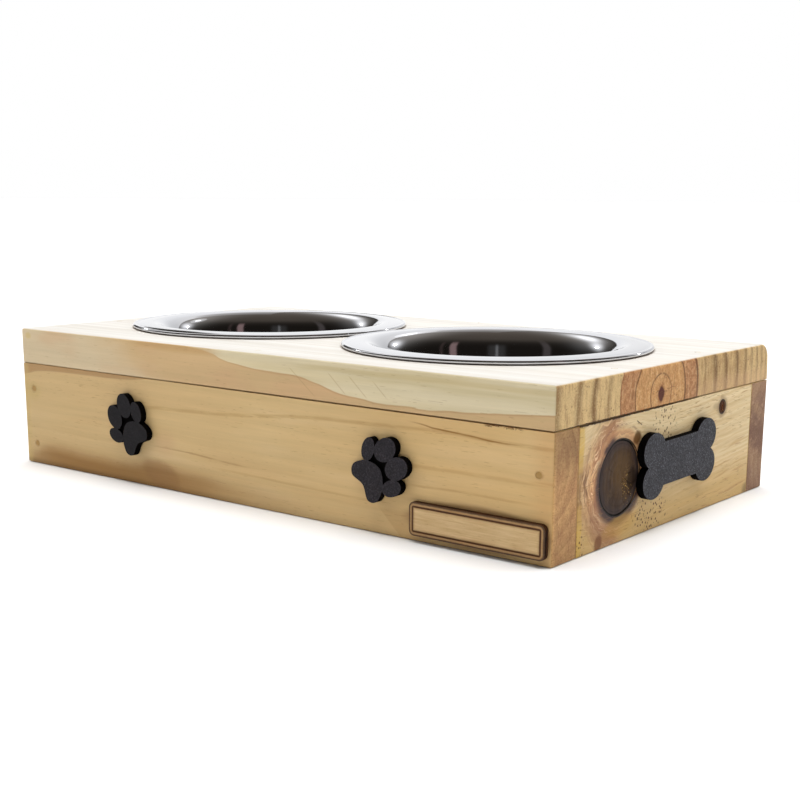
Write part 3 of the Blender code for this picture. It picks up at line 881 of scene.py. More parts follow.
def knotty_pine():
    """The right-hand end: figure that flows round one big dead knot."""
    net = Pine("knotty_pine_right", "y", 31.0)
    x, y, z = net.point()
    nx, ny, nz = net.normal
    face = net.step(nx, 0.45, 0.8)
    ky, kz = BIG_KNOT
    dy, dz = y - ky, z - kz
    d = (dy * dy + dz * dz).root()
    rough_edge = (net.noise(x * 0.02, y * 0.10, z * 0.10, detail=3.0) - 0.5) * 5.0
    # Lines of the grain part round the knot
    push = net.step(d, 62.0, 16.0)
    v = z + dz * push * -0.42 - (y - 50.0) * 0.07 + rough_edge * 0.35
    streak = net.noise(y * 0.012, 3.0, v * 0.42, detail=3.0, rough=0.6)
    colour = net.mix(net.step(streak, 0.35, 0.68), linear(222, 200, 156), linear(206, 178, 130))
    low = net.step(z + rough_edge, 33.0, 7.0)
    colour = net.mix(low * 0.80, colour, linear(198, 162, 98))
    fine = net.noise(y * 0.035, 5.0, v * 1.1, detail=3.0, rough=0.6)
    colour = net.mix(net.step(fine, 0.54, 0.72) * 0.36, colour, linear(184, 142, 88))
    colour = net.mix(net.step(fine, 0.44, 0.30) * 0.28, colour, linear(226, 202, 156))
    # Long slanting streaks at the lower right
    slope = v - (y - 50.0) * 0.03
    long_streak = net.step(net.noise(y * 0.02, 8.0, slope * 0.36, detail=2.0), 0.56, 0.68) * net.step(y, 30.0, 60.0) * net.step(z, 40.0, 28.0)
    colour = net.mix(long_streak * 0.62, colour, linear(180, 138, 84))
    dash = net.step(net.noise(y * 0.055, 6.0, v * 0.62, detail=1.0), 0.66, 0.72) * net.step(y, -20.0, 20.0)
    colour = net.mix(dash * 0.6, colour, linear(172, 126, 84))
    # Swirl of pink, brown and purple beside the knot
    angle = net.math("ARCTAN2", dz, dy)
    drift = (net.noise(x * 0.02, y * 0.10, z * 0.065, detail=3.0, shift=11.0) - 0.5) * 11.0
    flow = d + drift
    ring = net.noise(flow * 0.20, z * 0.060, 2.0, detail=4.0, rough=0.72, distortion=0.8)
    thread = net.noise(flow * 0.46, z * 0.105, 6.0, detail=3.0, rough=0.62, distortion=0.7)
    left = net.step(y + rough_edge, -44.0, -62.0)
    near = net.step(d + rough_edge * 0.8, 43.0, 27.0) * (left.most(net.step(d, 27.0, 21.5) * 0.8))
    swirl = net.mix(net.step(ring, 0.42, 0.58), linear(180, 128, 86), linear(214, 172, 122))
    swirl = net.mix(net.step(thread, 0.53, 0.60) * 0.80, swirl, linear(150, 102, 70))
    swirl = net.mix(net.step(thread, 0.46, 0.38) * 0.75, swirl, linear(240, 206, 164))
    swirl = net.mix(net.step(ring, 0.60, 0.68) * 0.80, swirl, linear(140, 104, 92))
    swirl = net.shade(swirl, net.curve(z, [(0, 0.96), (14, 1.0), (26, 1.14), (37, 1.18), (46, 0.98), (56, 0.86), (64, 0.82)]))
    colour = net.mix(near * 0.97, colour, swirl)
    low_left = net.step(net.ellipse(y, z, (-68, 14), (17, 12), -25) + (ring - 0.5) * 0.8, 1.25, 0.6)
    colour = net.mix(low_left * (0.55 + (thread - 0.5)), colour, linear(144, 100, 74))
    bruise = net.step(d + (thread - 0.5) * 6.0, 25.6, 21.2)
    purple_side = net.step(dz + dy * 0.4, 12.0, -4.0).most(net.step(net.ellipse(y, z, (-65.5, 51.0), (7, 4.5), 20), 1.4, 0.6))
    colour = net.mix(bruise * purple_side * 0.95, colour, linear(58, 38, 38))
    orange = net.band(d + (ring - 0.5) * 5.0, 21.6, 24.4, 0.8) * net.step(dz, 6.0, 16.0)
    colour = net.mix(orange * 0.34, colour, linear(206, 146, 98))
    scar = net.band(d + (thread - 0.5) * 3.0, 26.0, 27.4, 0.5) * net.step(dz, 2.0, 14.0) * net.step(thread, 0.42, 0.56)
    colour = net.mix(scar * 0.6, colour, linear(122, 82, 66))
    # Yellow resin streak against the front board, with dark spots low down
    stripe = net.band(y + rough_edge * 0.5, -93.8, -88.6, 0.8)
    shown = net.curve(z, [(0, 0.95), (16, 0.95), (24, 0.80), (29, 0.25), (38, 0.20), (43, 0.85), (56, 0.90), (64, 0.65)])
    colour = net.mix(stripe * shown * (0.60 + net.step(streak, 0.3, 0.7) * 0.35), colour, linear(212, 176, 84))
    browned = net.band(z, 16.0, 46.0, 7.0) * net.band(y + rough_edge * 0.5, -94.0, -82.0, 3.0)
    colour = net.mix(browned * 0.42, colour, linear(158, 112, 66))
    bruised = net.band(z + (thread - 0.5) * 10.0, 25.0, 41.0, 2.0) * net.band(y + drift * 0.3, -92.5, -84.0, 1.5)
    colour = net.mix(bruised * net.step(thread, 0.40, 0.56) * 0.75, colour, linear(112, 78, 54))
    spots = net.step(net.cells(x * 0.1, y * 0.42, z * 0.42), 0.34, 0.18) * net.band(y, -93.0, -86.5, 0.8) * net.step(z, 20.0, 8.0)
    colour = net.mix(spots * 0.95, colour, linear(84, 54, 20))
    # Brown corner of the knot and resin under it
    resin = net.step(net.ellipse(y, z, (-37.5, 50.5), (4.2, 3.4), 25) + (ring - 0.5) * 0.6, 1.2, 0.6)
    colour = net.mix(resin * 0.95, colour, linear(96, 62, 24))
    amber = net.step(net.ellipse(y, z, (-52, 8.5), (19, 5.5), 6) + rough_edge * 0.10, 1.2, 0.6)
    colour = net.mix(amber * 0.50, colour, linear(190, 146, 62))
    blob = net.step(net.ellipse(y, z, (-72.5, 3.0), (3.4, 4.6), -20) + (thread - 0.5) * 0.6, 1.3, 0.7)
    colour = net.mix(blob * 0.8, colour, linear(118, 70, 36))
    # Sprinkled dark dots
    dots = net.step(net.cells(x * 0.1, y * 0.48, z * 0.48), 0.39, 0.24)
    field = net.step(net.ellipse(y, z, (-21, 9), (19, 10), -6), 1.2, 0.7).most(
        net.step(net.ellipse(y, z, (-9, 54), (13, 12)), 1.2, 0.7) * 0.85
    )
    chance = net.step(net.noise(x * 0.1, y * 0.35, z * 0.35, detail=1.0, shift=5.0), 0.33, 0.45)
    colour = net.mix(dots * field * chance * 0.95, colour, linear(84, 50, 20))
    # The knot's outline: black old bark, with painted shade on the wall of the knot's socket
    socket = (
        net.math("SINE", angle * 2.0 + 1.3) * 0.018
        + net.math("SINE", angle * 3.0 + 2.73) * 0.010
        + net.math("SINE", angle * 7.0 + 1.3) * 0.006
        + 1.0
    ) * BIG_KNOT_RADIUS
    bark_and_socket_shade = net.step(d - socket + (thread - 0.5) * 0.6, 0.55, 0.15)
    # A short split
    split = net.band(z - 57.7 + (y + 35.6) * 0.52, -0.32, 0.32, 0.22) * net.band(y, -38.4, -33.2, 0.6)
    colour = net.mix(split * 0.9, colour, linear(70, 50, 34))
    # Small sound knot
    small = net.ellipse(y, z, SMALL_KNOT, (4.4, 4.2))
    halo = net.step(small + (net.noise(x * 0.1, y * 0.4, z * 0.4) - 0.5) * 0.5, 1.8, 0.98)
    colour = net.mix(halo * 0.70, colour, linear(138, 108, 72))
    tail = net.step(net.ellipse(y, z, (50.5, 55.8), (4.5, 2.0)), 1.3, 0.5)
    colour = net.mix(tail * 0.45, colour, linear(150, 122, 88))
    corner = net.step(net.ellipse(y, z, (95, 2), (5, 4)), 1.4, 0.5)
    colour = net.mix(corner * 0.6, colour, linear(108, 88, 50))
    left_edge = net.step(y, -86.0, -93.0) * 0.25
    colour = net.mix(left_edge, colour, linear(184, 138, 80))
    head_line = net.curve(y, [(-100, 0.30), (-80, 0.70), (-40, 0.55), (10, 0.42), (40, 0.12), (100, -0.10)])
    head_dark = net.step(z - 63.4 + head_line + (thread - 0.5) * 1.2, -0.2, 0.2) * net.step(nx, 0.05, 0.30)
    plain = net.mix(net.step(streak, 0.35, 0.68), linear(220, 196, 150), linear(204, 172, 122))
    colour = net.mix(face, plain, colour)
    colour = net.mix(bark_and_socket_shade * 0.97, colour, linear(14, 8, 7))
    # Dark rim round the small knot, with painted shade on the wall of its socket
    pocket = net.step(net.ellipse(y, z, SMALL_KNOT, (4.4, 4.2)), 1.04, 0.98)
    colour = net.mix(pocket * 0.95, colour, linear(46, 24, 8))
    specks = net.dashes(-0.01)
    colour = net.mix(specks * 0.45, colour, linear(134, 94, 48))
    colour = net.mix(net.end * 0.6, colour, linear(176, 134, 96))
    colour = net.mix(head_dark * net.step(y, 90.0, 0.0).most(0.6) * 0.95, colour, linear(38, 16, 3))
    colour = net.shade(colour, net.fibre())
    return finish_wood(net, colour, 0.50, net.step(streak, 0.35, 0.68) * 0.12)


def left_end_pine():
    net = Pine("knotty_pine_left", "y", 47.0)
    x, y, z = net.point()
    wave = (net.noise(y * 0.012, 7.0, z * 0.02, detail=2.0) - 0.5) * 7.0
    # Two small knots push the figure apart
    v = z + wave
    for ky, kz, size in ((38.0, 41.0, 5.2), (-62.0, 20.0, 3.6)):
        dy, dz = y - ky, z - kz
        d = (dy * dy * 0.4 + dz * dz).root()
        v = v - dz * net.step(d, size * 4.5, size) * 0.6
    dx = x + 236.0
    r = (dx * dx + (v - 30.0) * (v - 30.0)).root()
    late = net.rings(
        r, [(m, 3.4, 0.8, 0.6) for m in (40.6, 43.5, 46.8, 50.2, 54.0, 58.2, 63.0)]
    )
    colour = net.mix(late * 0.6, linear(220, 196, 150), linear(180, 138, 88))
    tone = net.noise(x * 0.03, y * 0.009, z * 0.05, detail=3.0, shift=3.0)
    colour = net.mix(net.step(tone, 0.42, 0.7) * 0.5, colour, linear(206, 168, 116))
    for ky, kz, size in ((38.0, 41.0, 5.2), (-62.0, 20.0, 3.6)):
        e = net.ellipse(y, z, (ky, kz), (size, size * 0.9)) + (net.noise(x * 0.1, y * 0.3, z * 0.3) - 0.5) * 0.25
        colour = net.mix(net.step(e, 1.9, 1.0) * 0.55, colour, linear(168, 120, 70))
        colour = net.mix(net.step(e, 1.06, 0.96), colour, linear(96, 60, 34))
        colour = net.mix(net.step(e, 0.86, 0.55), colour, linear(150, 98, 56))
        colour = net.mix(net.step(e, 0.25, 0.08), colour, linear(70, 42, 26))
    specks = net.dashes(0.0)
    colour = net.mix(specks * 0.5, colour, linear(138, 100, 56))
    colour = net.mix(net.end * 0.6, colour, linear(176, 134, 96))
    colour = net.shade(colour, net.fibre())
    return finish_wood(net, colour, 0.52, late)


def dead_knot(name, centre, radius, seed, tint=None):
    """The knot itself: end grain of a branch, dark and checked."""
    net = Net(name)
    x, y, z = net.point()
    dy, dz = y - centre[0], z - centre[1]
    wob = (net.noise(x * 0.02, y * 0.12, z * 0.12, detail=3.0, shift=seed) - 0.5) * radius * 0.16
    d = (dy * dy + dz * dz).root()
    angle = net.math("ARCTAN2", dz, dy)
    outline = (
        net.math("SINE", angle * 2.0 + seed) * 0.018
        + net.math("SINE", angle * 3.0 + 2.1 * seed) * 0.010
        + net.math("SINE", angle * 7.0 + seed) * 0.006
        + 1.0
    ) * radius
    share = d / outline
    worn = (d + wob) / radius
    rings = net.noise(worn * 16.0, 3.0 + seed, 0.0, detail=3.0, rough=0.6)
    rays = net.noise(angle * 9.0, worn * 1.6, seed, detail=4.0, rough=0.68)
    strokes = net.noise(y * 0.50, z * 0.07, seed + 1.0, detail=3.0, rough=0.62)
    grime = net.noise(x * 0.05, y * 0.22, z * 0.22, detail=4.0, rough=0.66, shift=seed + 2.0)
    colour = net.mix(net.step(strokes, 0.34, 0.66), linear(58, 43, 33), linear(76, 58, 44))
    colour = net.mix(net.step(rings, 0.54, 0.66) * 0.35, colour, linear(46, 34, 27))
    golden = net.ellipse(y, z, (centre[0] + radius * 0.12, centre[1] + radius * 0.10), (radius * 0.56, radius * 0.74), 12)
    colour = net.mix(net.step(golden + (strokes - 0.5) * 1.4, 1.15, 0.30) * 0.58, colour, linear(98, 72, 38))
    colour = net.mix(net.step(grime, 0.54, 0.68) * 0.35, colour, linear(100, 78, 52))
    colour = net.mix(net.step(rays, 0.58, 0.66) * 0.45 * net.step(worn, 0.95, 0.6), colour, linear(32, 21, 15))
    colour = net.mix(net.step(worn, 0.70, 0.88) * 0.55, colour, linear(62, 53, 54))
    fleck_place = net.ellipse(
        y, z, (centre[0] + radius * 0.40, centre[1] - radius * 0.34), (radius * 0.26, radius * 0.50), 8
    )
    flecks = net.step(net.cells(x * 0.2, y * 0.80, z * 0.80), 0.30, 0.14) * net.step(
        fleck_place + (grime - 0.5) * 1.4, 1.15, 0.6
    )
    colour = net.mix(flecks * 0.88, colour, linear(204, 164, 96))
    # Painted shadow: a dark patch on the knot's right-hand side stands in for the bone's shadow on the big knot; the
    # small knot gets the same patch
    shadow_patch = net.step(net.ellipse(y, z, (centre[0] + radius * 0.62, centre[1] - radius * 0.10), (radius * 0.22, radius * 0.30), -20) + (grime - 0.5), 1.2, 0.8)
    colour = net.mix(shadow_patch * 0.55, colour, linear(16, 10, 8))
    colour = net.mix(net.band(share, 0.865, 0.885, 0.012) * 0.45, colour, linear(36, 27, 27))
    if tint:
        colour = net.mix(1.0, colour, tint, blend="MULTIPLY")
    colour = net.mix(net.step(share, 0.930, 0.950) * 0.98, colour, linear(10, 7, 8))
    net.bump(strokes * 0.6 + grime * 0.5, 0.45, 0.18)
    net.shader.inputs["Specular IOR Level"].default_value = 0.08
    return net.out(colour, 0.52 + (grime - 0.5) * 0.3)


def putty():
    net = Net("wood_filler")
    x, y, z = net.point()
    grit = net.noise(x * 0.9, y * 0.9, z * 0.9, detail=3.0)
    colour = net.mix(grit, linear(148, 112, 60), linear(188, 152, 94))
    net.bump(grit, 0.5, 0.12)
    net.shader.inputs["Specular IOR Level"].default_value = 0.3
    return net.out(colour, 0.62 + (grit - 0.5) * 0.2)


# Painted light: the same filler made paler for the top, to match the top's painted overhead light
def pale_putty():
    net = Net("pale_wood_filler")
    x, y, z = net.point()
    grit = net.noise(x * 0.9, y * 0.9, z * 0.9, detail=3.0)
    colour = net.mix(grit, linear(206, 198, 182), linear(218, 212, 200))
    net.bump(grit, 0.5, 0.12)
    net.shader.inputs["Specular IOR Level"].default_value = 0.3
    return net.out(colour, 0.62 + (grit - 0.5) * 0.2)


def badge_face(name, dark, light, fleck, amount, shading=None):
    """Matt black paint rolled on fibreboard."""
    net = Net(name)
    x, y, z = net.point()
    speckle = net.noise(x * 1.3, y * 1.3, z * 1.3, detail=3.0, rough=0.7)
    cloud = net.noise(x * 0.12, y * 0.12, z * 0.12, detail=2.0)
    dust = net.step(net.cells(x * 0.80, y * 0.80, z * 0.80), 0.38, 0.16)
    pits = net.step(net.cells(x * 0.55 + 7.0, y * 0.55, z * 0.55), 0.38, 0.18)
    colour = net.mix(net.step(speckle, 0.36, 0.66), dark, light)
    colour = net.mix(net.step(cloud, 0.35, 0.75) * 0.4, colour, dark)
    colour = net.mix(dust * amount, colour, fleck)
    colour = net.mix(pits * 0.70, colour, dark)
    if shading:
        colour = net.shade(colour, net.curve(x, shading))
    net.bump(speckle, 0.5, 0.12)
    net.shader.inputs["Specular IOR Level"].default_value = 0.16
    return net.out(colour, 0.62 + (speckle - 0.5) * 0.22)


def badge_side():
    """Fibreboard edge browned and blacked by the laser."""
    net = Net("charred_edge")
    x, y, z = net.point()
    soot = net.noise(x * 1.2, y * 1.2, z * 1.2, detail=3.0, rough=0.65)
    colour = net.mix(net.step(soot, 0.35, 0.75), linear(4, 4, 4), linear(13, 10, 9))
    net.bump(soot, 0.5, 0.15)
    net.shader.inputs["Specular IOR Level"].default_value = 0.02
    return net.out(colour, 0.80 + (soot - 0.5) * 0.2)


def rounded_box_distance(net, x, z):
    """Distance inwards from the plaque's outline, in millimetres."""
    hx, hz = PLAQUE_HALF[0] - PLAQUE_CORNER, PLAQUE_HALF[1] - PLAQUE_CORNER
    qx = abs(x - PLAQUE_MIDDLE[0]) - hx
    qz = abs(z - PLAQUE_MIDDLE[1]) - hz
    ox, oz = qx.most(0.0), qz.most(0.0)
    outside = (ox * ox + oz * oz).root() + qx.most(qz).least(0.0)
    return PLAQUE_CORNER - outside


def plaque_face():
    """Thin birch ply, browned where the laser cut and engraved it."""
    net = Net("scorched_ply_face")
    x, y, z = net.point()
    depth = rounded_box_distance(net, x, z)
    uneven = (net.noise(x * 0.35, 2.0, z * 0.35, detail=3.0) - 0.5) * 0.8
    grain = net.noise(x * 0.06, 4.0, z * 1.1, detail=4.0, rough=0.6)
    pores = net.step(net.noise(x * 0.25, 8.0, z * 2.6, detail=2.0), 0.62, 0.70)
    colour = net.mix(net.step(grain, 0.3, 0.72), linear(214, 184, 136), linear(196, 162, 112))
    colour = net.mix(pores * 0.4, colour, linear(156, 116, 70))
    haze = net.step(depth + uneven * 1.5, 4.6, 0.6)
    colour = net.mix(haze * 0.62, colour, linear(152, 106, 56))
    rim = net.step(depth + uneven * 0.7, 1.5, 0.35)
    colour = net.mix(rim * 0.92, colour, linear(58, 34, 18))
    near_groove = net.step(abs(depth - 2.35), 1.6, 0.4)
    colour = net.mix(near_groove * 0.45, colour, linear(140, 94, 48))
    groove = net.step(abs(depth + uneven * 0.15 - 2.35), 0.70, 0.34)
    colour = net.mix(groove * 0.92, colour, linear(78, 46, 22))
    net.bump(grain * 0.6 - pores * 0.5, 0.4, 0.12)
    net.shader.inputs["Specular IOR Level"].default_value = 0.35
    return net.out(colour, 0.58 + (grain - 0.5) * 0.2)


def plaque_side():
    net = Net("scorched_ply_edge")
    x, y, z = net.point()
    layer = net.noise(x * 0.08, y * 1.1, z * 0.08, detail=1.0)
    soot = net.noise(x * 0.9, y * 0.9, z * 0.9, detail=3.0)
    colour = net.mix(net.step(layer, 0.4, 0.6), linear(34, 19, 10), linear(70, 42, 22))
    colour = net.mix(net.step(soot, 0.45, 0.7) * 0.6, colour, linear(16, 9, 5))
    net.bump(layer * 0.7 + soot * 0.5, 0.5, 0.15)
    net.shader.inputs["Specular IOR Level"].default_value = 0.08
    return net.out(colour, 0.7 + (soot - 0.5) * 0.2)


def bowl_steel(name, centre):
    """Spun and polished stainless steel, with the faint rings of polishing."""
    net = Net(name)
    x, y, z = net.point()
    dx, dy = x - centre[0], y - centre[1]
    r = (dx * dx + dy * dy).root()
    angle = net.math("ARCTAN2", dy, dx)
    lathe_lines = net.noise(r * 2.4, z * 2.4, 1.0, detail=3.0, rough=0.7)
    smear = net.noise(dx * 0.02, dy * 0.02, z * 0.06, detail=3.0)
    scratch = net.step(net.noise(angle * 1.4, r * 1.8, z * 1.8, detail=2.0, rough=0.6), 0.66, 0.74)
    colour = net.mix(smear, linear(198, 200, 206), linear(213, 215, 220))
    colour = net.mix(scratch * 0.25, colour, linear(178, 178, 186))
    rough = 0.045 + smear * 0.03 + (lathe_lines - 0.5) * 0.03 + scratch * 0.05
    net.bump(lathe_lines, 0.10, 0.04)
    net.shader.inputs["Metallic"].default_value = 1.0
    net.shader.inputs["Anisotropic"].default_value = 0.25
    tangent = net.node("ShaderNodeTangent", direction_type="RADIAL", axis="Z")
    net.tree.links.new(tangent.outputs[0], net.shader.inputs["Tangent"])
    return net.out(colour, rough)


def brad_steel():
    net = Net("drawn_steel_wire")
    tex = net.node("ShaderNodeTexCoord")
    grow = net.node("ShaderNodeVectorMath", operation="SCALE")
    grow.inputs["Scale"].default_value = 1 / MM
    net.tree.links.new(tex.outputs["Object"], grow.inputs[0])
    parts = net.node("ShaderNodeSeparateXYZ")
    net.tree.links.new(grow.outputs[0], parts.inputs[0])
    x, y, z = (Num(net, s) for s in parts.outputs)
    drawn = net.noise(x * 1.5, y * 1.5, z * 1.5, detail=3.0)
    colour = net.mix(drawn, linear(150, 150, 153), linear(186, 186, 190))
    net.bump(drawn, 0.2, 0.05)
    net.shader.inputs["Metallic"].default_value = 1.0
    return net.out(colour, 0.34 + (drawn - 0.5) * 0.2)


# --- boards -----------------------------------------------------------------

top_heads = {
    name: ((x, y, TOP - 1.0), (0, 0, -1)) for name, (x, y) in TOP_BRADS.items()
}
front_heads = {
    name: ((x, YF + 1.0, z), (0, 1, 0)) for name, (x, z) in CORNER_BRADS.items()
}
rear_heads = {
    name: ((x, YR - 1.0, z), (0, -1, 0)) for name, (x, z) in CORNER_BRADS.items()
}


def of_side(heads, side):
    return [head for name, head in heads.items() if name.startswith(side)]


def top_rounding(side):
    sx, sy, sz = side
    if sx == 0:
        if sy > 0:
            return 0.0 if sz > 0 else 0.3
        return 1.6 if sz > 0 else 0.4
    if sz > 0:
        return 2.4
    if sy < 0:
        return 0.8 if sx < 0 else 1.3
    if sy > 0:
        return 0.8
    return 0.3 if sx < 0 else 0.6


top = board(
    "top_board_wood",
    (-XR - LEFT_PROUD * 0.6, YF, BOX_TOP),
    (XR, YR + TOP_PROUD, TOP),
    top_rounding,
    [
        cylinder_cutter("left_cutout", CUTOUT_RADIUS, -CUTOUT_X, CUTOUT_Y, 50, 100),
        cylinder_cutter("right_cutout", CUTOUT_RADIUS, CUTOUT_X, CUTOUT_Y, 50, 100),
        brad_holes("top_holes", list(top_heads.values())),
        chips(
            "top_chips",
            [
                ((XR + 0.2, -86.0, BOX_TOP - 0.1), (0.9, 3.2, 0.9)),
                ((XR + 0.2, -70.5, BOX_TOP - 0.2), (0.8, 2.2, 0.8)),
                ((XR + 0.2, -61.0, BOX_TOP - 0.1), (0.7, 4.0, 0.6)),
            ],
        ),
    ],
    spacing=(14, 14, 0),
    wobble=0.12,
    seed=1.7,
    rear_round=9.0,
)
for v in top.data.vertices:
    # Towards the left the board lies tight on the front board
    if v.co.z < (BOX_TOP + 0.9) * MM and v.co.y < (YF + 12.0) * MM:
        near = min(max((-20.0 - v.co.x / MM) / 60.0, 0.0), 1.0)
        v.co.z -= 0.2 * near * MM
top_material = top_pine()
place(top, "stand", ["top_board"], "pale_pine", top_material)
weighted_normals(top)


def lower_rounding(side):
    return 0.7


def front_rounding(side):
    sx, sy, sz = side
    if sz == 0 and sy < 0:
        return 1.2 if sx > 0 else 0.5
    if sz > 0 and sy < 0:
        return 0.4
    return 0.8


front = board(
    "front_board_wood",
    (-XR - LEFT_PROUD, YF, 0.0),
    (XR, YF + FRONT_DEPTH, BOARD_TOP),
    front_rounding,
    [
        brad_holes(
            "front_holes", list(front_heads.values()) + of_side(top_heads, "front")
        ),
        chips(
            "front_chips",
            [
                ((161.5, YF - 0.2, BOARD_TOP + 0.1), (2.6, 1.1, 0.9)),
                ((166.5, YF - 0.2, BOARD_TOP + 0.1), (2.2, 0.9, 0.7)),
                ((171.8, YF - 0.3, BOARD_TOP - 0.1), (2.6, 1.2, 1.5)),
                ((176.2, YF - 0.2, BOARD_TOP + 0.1), (1.5, 0.9, 0.7)),
                ((118.0, YF - 0.2, BOARD_TOP + 0.1), (3.4, 0.7, 0.5)),
                ((64.0, YF - 0.2, BOARD_TOP + 0.2), (4.0, 0.7, 0.5)),
            ],
            seed=4,
        ),
    ],
    spacing=(14, 0, 12),
    wobble=0.15,
    seed=5.1,
)
front_material = front_pine()
place(front, "stand", ["front_board"], "honey_pine", front_material)
weighted_normals(front)


def rear_rounding(side):
    sx, sy, sz = side
    if sz > 0:
        return 0.3
    return 1.0 if side == (1, 1, 0) else 0.7


rear = board(
    "rear_board_wood",
    (-XR - LEFT_PROUD, YR - REAR_DEPTH, 0.0),
    (XR, YR + REAR_PROUD, BOARD_TOP),
    rear_rounding,
    [brad_holes("rear_holes", list(rear_heads.values()) + of_side(top_heads, "rear"))],
    spacing=(14, 0, 12),
    wobble=0.15,
    seed=9.4,
)
rear_material = rear_pine()
place(rear, "stand", ["rear_board"], "honey_pine", rear_material)
weighted_normals(rear)

end_low_y = YF + FRONT_DEPTH + FIT
end_high_y = YR - REAR_DEPTH - FIT


def knot_radius(a, seed, radius):
    """A nearly round outline, as a dead branch leaves."""
    wave = 0.018 * math.sin(2 * a + seed) + 0.010 * math.sin(3 * a + 2.1 * seed)
    wave += 0.006 * math.sin(7 * a + seed)
    return radius * (1 + wave)


def knot_hole(name, centre, radius, seed, depth):
    bm = bmesh.new()
    low, high = XR - depth, XR + 3.0
    lathe(
        bm,
        [(0, low), (radius * 0.97, low), (radius, high), (0, high)],
        120,
        radius_at=lambda a, r, z: knot_radius(a, seed, r),
    )
    # The lathe's axis is Z; turned so that it runs along X
    bmesh.ops.rotate(bm, matrix=Matrix(((0, 0, 1), (1, 0, 0), (0, 1, 0))), verts=bm.verts)
    bmesh.ops.translate(bm, vec=(0, centre[0], centre[1]), verts=bm.verts)
    return mesh_of(bm, name)


def knot_piece(name, centre, radius, seed, depth, sunk, gap, cracks):
    """A loose knot: a disc with a worn rim, ripples and radial checks."""
    bm = bmesh.new()
    steps, rows = 180, 34
    # The front of the disc, from its middle to its rim
    front_rows = []
    for i in range(rows + 1):
        front_rows.append((radius - gap) * i / rows)
    columns = []

    def height(r, a):
        share = r / (radius - gap)
        worn = 0.45 * max(0.0, (share - 0.86) / 0.14) ** 2
        ripple = 0.05 * math.sin(share * 34 + 0.8 * math.sin(a * 2 + seed))
        lump = 0.22 * noise.noise(Vector((r * 0.16 * math.cos(a), r * 0.16 * math.sin(a), seed)))
        deep = 0.0
        for at, wide, reach_in, reach_out, how_deep in cracks:
            off = math.remainder(a - at - 0.10 * math.sin(share * 9 + at), 2 * math.pi) * max(r, 0.5)
            if reach_in <= share <= reach_out:
                fade = min(1.0, (share - reach_in) * 9 + 0.2, (reach_out - share) * 9)
                deep = max(deep, how_deep * fade * math.exp(-((off / wide) ** 2)))
        return -sunk - worn + ripple + lump - deep

    middle = bm.verts.new((XR + height(0.0, 0.0), 0, 0))
    previous = None
    for i, r in enumerate(front_rows[1:], 1):
        ring = []
        for k in range(steps):
            a = 2 * math.pi * k / steps
            s = knot_radius(a, seed, r)
            ring.append(bm.verts.new((XR + height(r, a), s * math.cos(a), s * math.sin(a))))
        if previous is None:
            for k in range(steps):
                bm.faces.new((middle, ring[k], ring[(k + 1) % steps]))
        else:
            for k in range(steps):
                j = (k + 1) % steps
                bm.faces.new((previous[k], ring[k], ring[j], previous[j]))
        previous = ring
    back = []
    for k in range(steps):
        a = 2 * math.pi * k / steps
        s = knot_radius(a, seed, radius - gap) * 0.965
        back.append(bm.verts.new((XR - depth + 0.15, s * math.cos(a), s * math.sin(a))))
    for k in range(steps):
        j = (k + 1) % steps
        bm.faces.new((previous[k], back[k], back[j], previous[j]))
    bm.faces.new(back)
    bmesh.ops.translate(bm, vec=(0, centre[0], centre[1]), verts=bm.verts)
    mesh = mesh_of(bm, name)
    smooth_by_angle(mesh, 50)
    return add_object(name, mesh)


right_end = board(
    "right_end_board_wood",
    (XR - END_DEPTH, end_low_y, 0.0),
    (XR, end_high_y, BOARD_TOP),
    lower_rounding,
    [
        brad_holes(
            "right_holes",
            of_side(front_heads, "right") + of_side(rear_heads, "right") + of_side(top_heads, "right"),
        ),
        knot_hole("big_knot_hole", BIG_KNOT, BIG_KNOT_RADIUS, 1.3, 3.0),
        knot_hole("small_knot_hole", SMALL_KNOT, 3.7, 4.0, 2.0),
        chips(
            "right_chips",
            [
                ((XR + 0.1, -84.0, BOARD_TOP + 0.2), (0.8, 4.2, 0.8)),
                ((XR + 0.1, -74.0, BOARD_TOP + 0.2), (0.8, 2.6, 0.9)),
                ((XR + 0.1, -66.0, BOARD_TOP + 0.2), (0.8, 3.2, 0.7)),
                ((XR + 0.1, -35.8, 57.7), (0.5, 2.4, 0.35)),
            ],
            seed=8,
        ),
    ],
    spacing=(0, 14, 12),
    wobble=0.12,
    seed=13.3,
)
right_material = knotty_pine()
place(right_end, "stand", ["right_end_board"], "knotty_pine", right_material)
weighted_normals(right_end)

# Drying checks: angle, half width, where they start and end, depth
CHECKS = [
    (0.20, 0.18, 0.25, 0.90, 0.35), (0.75, 0.12, 0.40, 0.88, 0.18), (-0.30, 0.22, 0.16, 0.88, 0.60),
    (-0.72, 0.24, 0.14, 0.84, 0.70), (-1.15, 0.16, 0.25, 0.86, 0.35), (-1.75, 0.12, 0.35, 0.80, 0.18),
    (1.35, 0.12, 0.30, 0.84, 0.15), (1.95, 0.12, 0.40, 0.86, 0.15), (2.55, 0.12, 0.30, 0.78, 0.15),
    (3.05, 0.12, 0.45, 0.86, 0.15), (-2.25, 0.13, 0.35, 0.86, 0.18), (-2.75, 0.12, 0.45, 0.84, 0.15),
]
big = knot_piece("right_end_dead_knot", BIG_KNOT, BIG_KNOT_RADIUS, 1.3, 3.0, 0.30, 0.28, CHECKS)
place(big, "stand", [], "knotty_pine", dead_knot("dead_knot", BIG_KNOT, BIG_KNOT_RADIUS, 1.3))
small = knot_piece(
    "right_end_small_knot", SMALL_KNOT, 3.7, 4.0, 2.0, 0.20, 0.12,
    [(0.9, 0.25, 0.0, 0.9, 0.5), (-2.0, 0.25, 0.0, 0.7, 0.5)],
)
place(small, "stand", [], "knotty_pine", dead_knot("small_knot", SMALL_KNOT, 3.7, 4.0, linear(255, 192, 120)))

